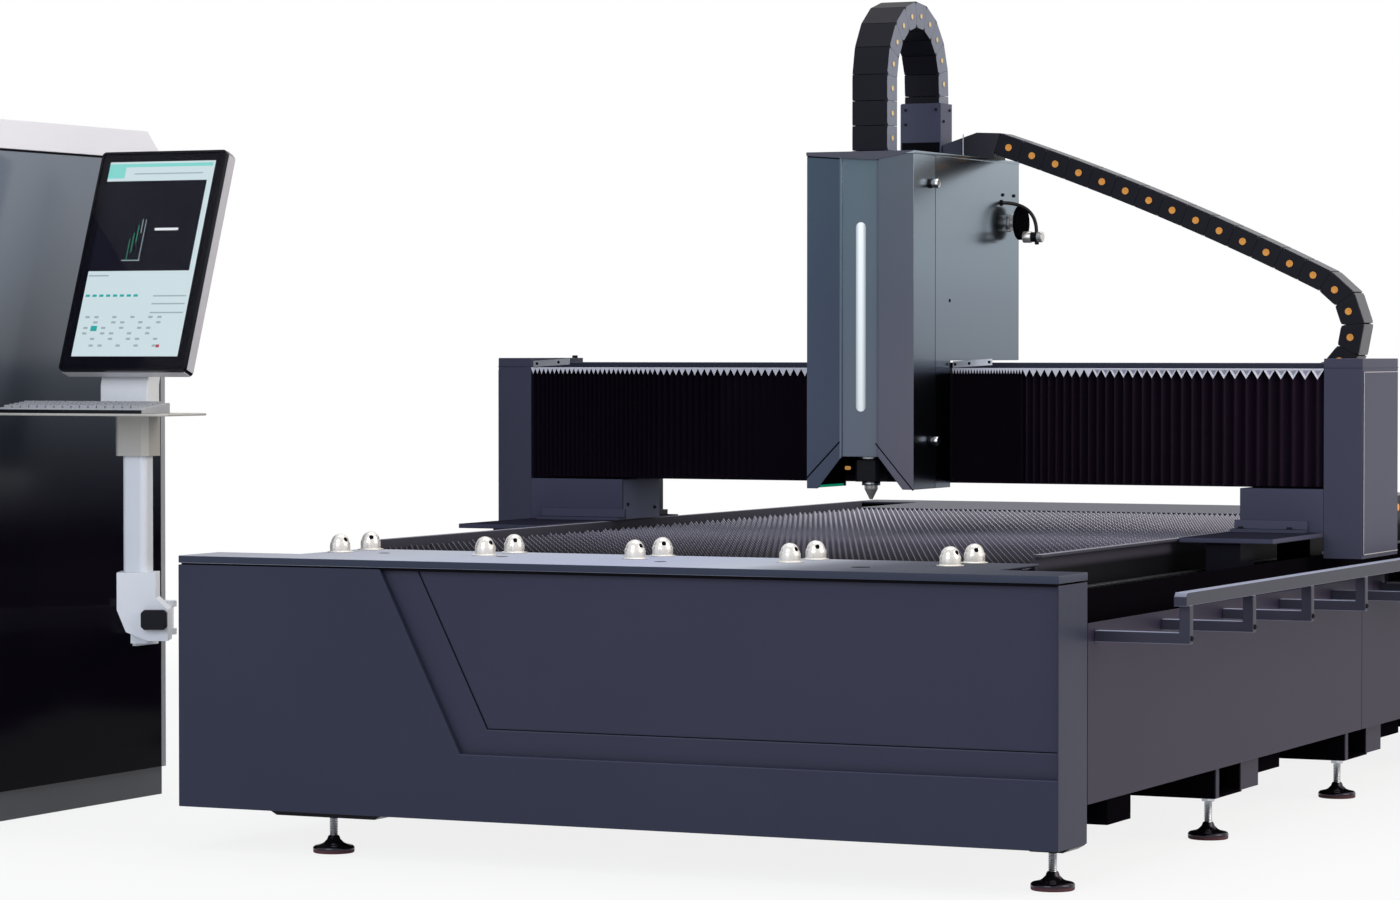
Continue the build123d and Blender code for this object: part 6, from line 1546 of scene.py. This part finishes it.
# %% Panel seam and trim
panel_low, panel_high = span("console_panel")
cabinet_high = span("console_cabinet")[1]
skin = (panel_high.x - 1, panel_high.x + 0.6)
bm = bmesh.new()
bar(bm, skin, (panel_low.y, panel_high.y), (panel_high.z - 6, panel_high.z), 0)
# a pale strip paints light onto the cabinet's shaded edge
bar(bm, skin, (panel_high.y + 1, cabinet_high.y - 1), (panel_low.z, panel_high.z), 1)
piece("panel_seam_and_lit_strip", bm, [gap_dark, key_grey], "bed")

# %% [markdown]
# The keyboard slopes, so each key's height follows from its place on the board. An array modifier
# could repeat one key, but two loops are plainer and keep every row on the slope.

# %% Keyboard keys
ROWS, COLUMNS, LIP, SIDE_RIM, END_RIM = 5, 16, 12, 14, 10
KEY_GAP, KEY_WIDE, KEY_DEEP, KEY_TALL = 1.5, 22, 19, 7
board_low, board_high = span("keyboard")
board = board_high - board_low
slope = (board.z - LIP) / board.y
bm = bmesh.new()
for row in range(ROWS):
    for column in range(COLUMNS):
        x = board_low.x + SIDE_RIM + column * (board.x - 2 * SIDE_RIM) / COLUMNS
        y = board_low.y + END_RIM + row * (board.y - 2 * END_RIM) / ROWS
        z = board_low.z + LIP + slope * (y - board_low.y)
        bar(bm, (x + KEY_GAP, x + KEY_WIDE), (y + KEY_GAP, y + KEY_DEEP), (z - 1, z + KEY_TALL))
rim = (board_low.x + 1, board_high.x - 1)
bar(bm, rim, (board_low.y - 0.8, board_low.y + 1), (board_low.z + 0.5, board_low.z + 9), 1)
piece("keyboard_keys", bm, [key_grey, motor_black], "console_head")

# %% [markdown]
# ## Studio
# The room is a white sweep: a pale floor that fades into the white background, a soft even
# light from all round, a large warm panel on the right and a broad cool one in front. The white
# comes from the floor's and the world's own shaders, so no lamp has to be turned up for it.

# %% Floor
FADE_NEAR, FADE_FAR, FLOOR_HALF, DUST = 3.2, 7.0, 40, 500


def eye(tree):
    """1 for what the camera sees straight, mirrored or through glass, and 0 for stray light."""
    path = add(tree, "LightPath", {}).outputs
    seen = {0: path["Is Camera Ray"], 1: path["Is Glossy Ray"]}
    seen = add(tree, "Math", seen, operation="ADD")
    seen = {0: seen.outputs[0], 1: path["Is Transmission Ray"]}
    return add(tree, "Math", seen, operation="ADD", use_clamp=True).outputs[0]


floor_mat, tree, shader, place = shader_of("pale studio floor")
distance = add(tree, "VectorMath", {0: place}, operation="LENGTH").outputs["Value"]
fade = {"Value": distance, "From Min": FADE_NEAR, "From Max": FADE_FAR, "To Min": 0.85}
fade = add(tree, "MapRange", fade, interpolation_type="SMOOTHSTEP")
fade = add(tree, "Math", {0: fade.outputs[0], 1: eye(tree)}, operation="MULTIPLY")
dust = add(tree, "TexNoise", {"Vector": place, "Scale": 1000 / DUST})
mix = {0: dust.outputs[0], 6: hexa("#E4E4E6"), 7: hexa("#E9E9EA")}
tint = add(tree, "Mix", mix, data_type="RGBA")
wire(tree, shader, {"Base Color": tint.outputs[2], "Roughness": 0.9, "Specular IOR Level": 0.0})
paper = add(tree, "Emission", {"Color": hexa("#FFFFFF"), "Strength": 1.0})
both = add(tree, "MixShader", {0: fade.outputs[0], 1: shader.outputs[0], 2: paper.outputs[0]})
tree.links.new(both.outputs[0], tree.nodes["Material Output"].inputs["Surface"])
bm = bmesh.new()
bmesh.ops.create_grid(bm, x_segments=8, y_segments=8, size=FLOOR_HALF)
floor_mesh = bpy.data.meshes.new("studio_floor")
bm.to_mesh(floor_mesh)
bm.free()
floor_mesh.materials.append(floor_mat)
floor = bpy.data.objects.new("studio_floor", floor_mesh)
floor.location.z = -0.001
scene.collection.objects.link(floor)
print("floor fades to white from", FADE_NEAR, "to", FADE_FAR, "m")

# %% [markdown]
# The background is white paper for the eye, but a quieter bluish grey for the light it sheds, as
# in a room where the walls are dimmer than the backdrop. One colour for both would flatten the
# shapes.

# %% Background
world = bpy.data.worlds.new("studio")
scene.world = world
world.use_nodes = True
tree = world.node_tree
room = add(tree, "Background", {"Color": hexa("#E9EEF6"), "Strength": 0.58})
white = add(tree, "Background", {"Color": hexa("#FFFFFF"), "Strength": 1.0})
both = add(tree, "MixShader", {0: eye(tree), 1: room.outputs[0], 2: white.outputs[0]})
tree.links.new(both.outputs[0], tree.nodes["World Output"].inputs["Surface"])
print("made background", world.name)

# %% [markdown]
# Three softboxes light the machine: a warm one on the right, a cool one in front and a weak one
# above. Small lamps would draw hard spots on the lacquer, so all three are metres wide.

# %% Lights
def softbox(name, place, aim, size, power, colour):
    """A square area light that looks at a point."""
    light = bpy.data.lights.new(name, "AREA")
    light.size = size
    light.energy = power
    light.color = hexa(colour)[:3]
    lamp = bpy.data.objects.new(name, light)
    lamp.location = at(*place)
    lamp.rotation_euler = (at(*aim) - at(*place)).to_track_quat("-Z", "Y").to_euler()
    scene.collection.objects.link(lamp)
    print("lit", name, power, "W")


softbox("warm_panel", (7500, 1500, 4200), (300, 1600, 700), 5, 310, "#FFF1E2")
softbox("cool_panel", (-600, -9500, 4800), (-300, 1000, 700), 6, 400, "#EEF3FF")
softbox("top_panel", (0, 2000, 7500), (0, 2000, 0), 6, 150, "#FFFFFF")
scene.view_settings.view_transform = "Standard"
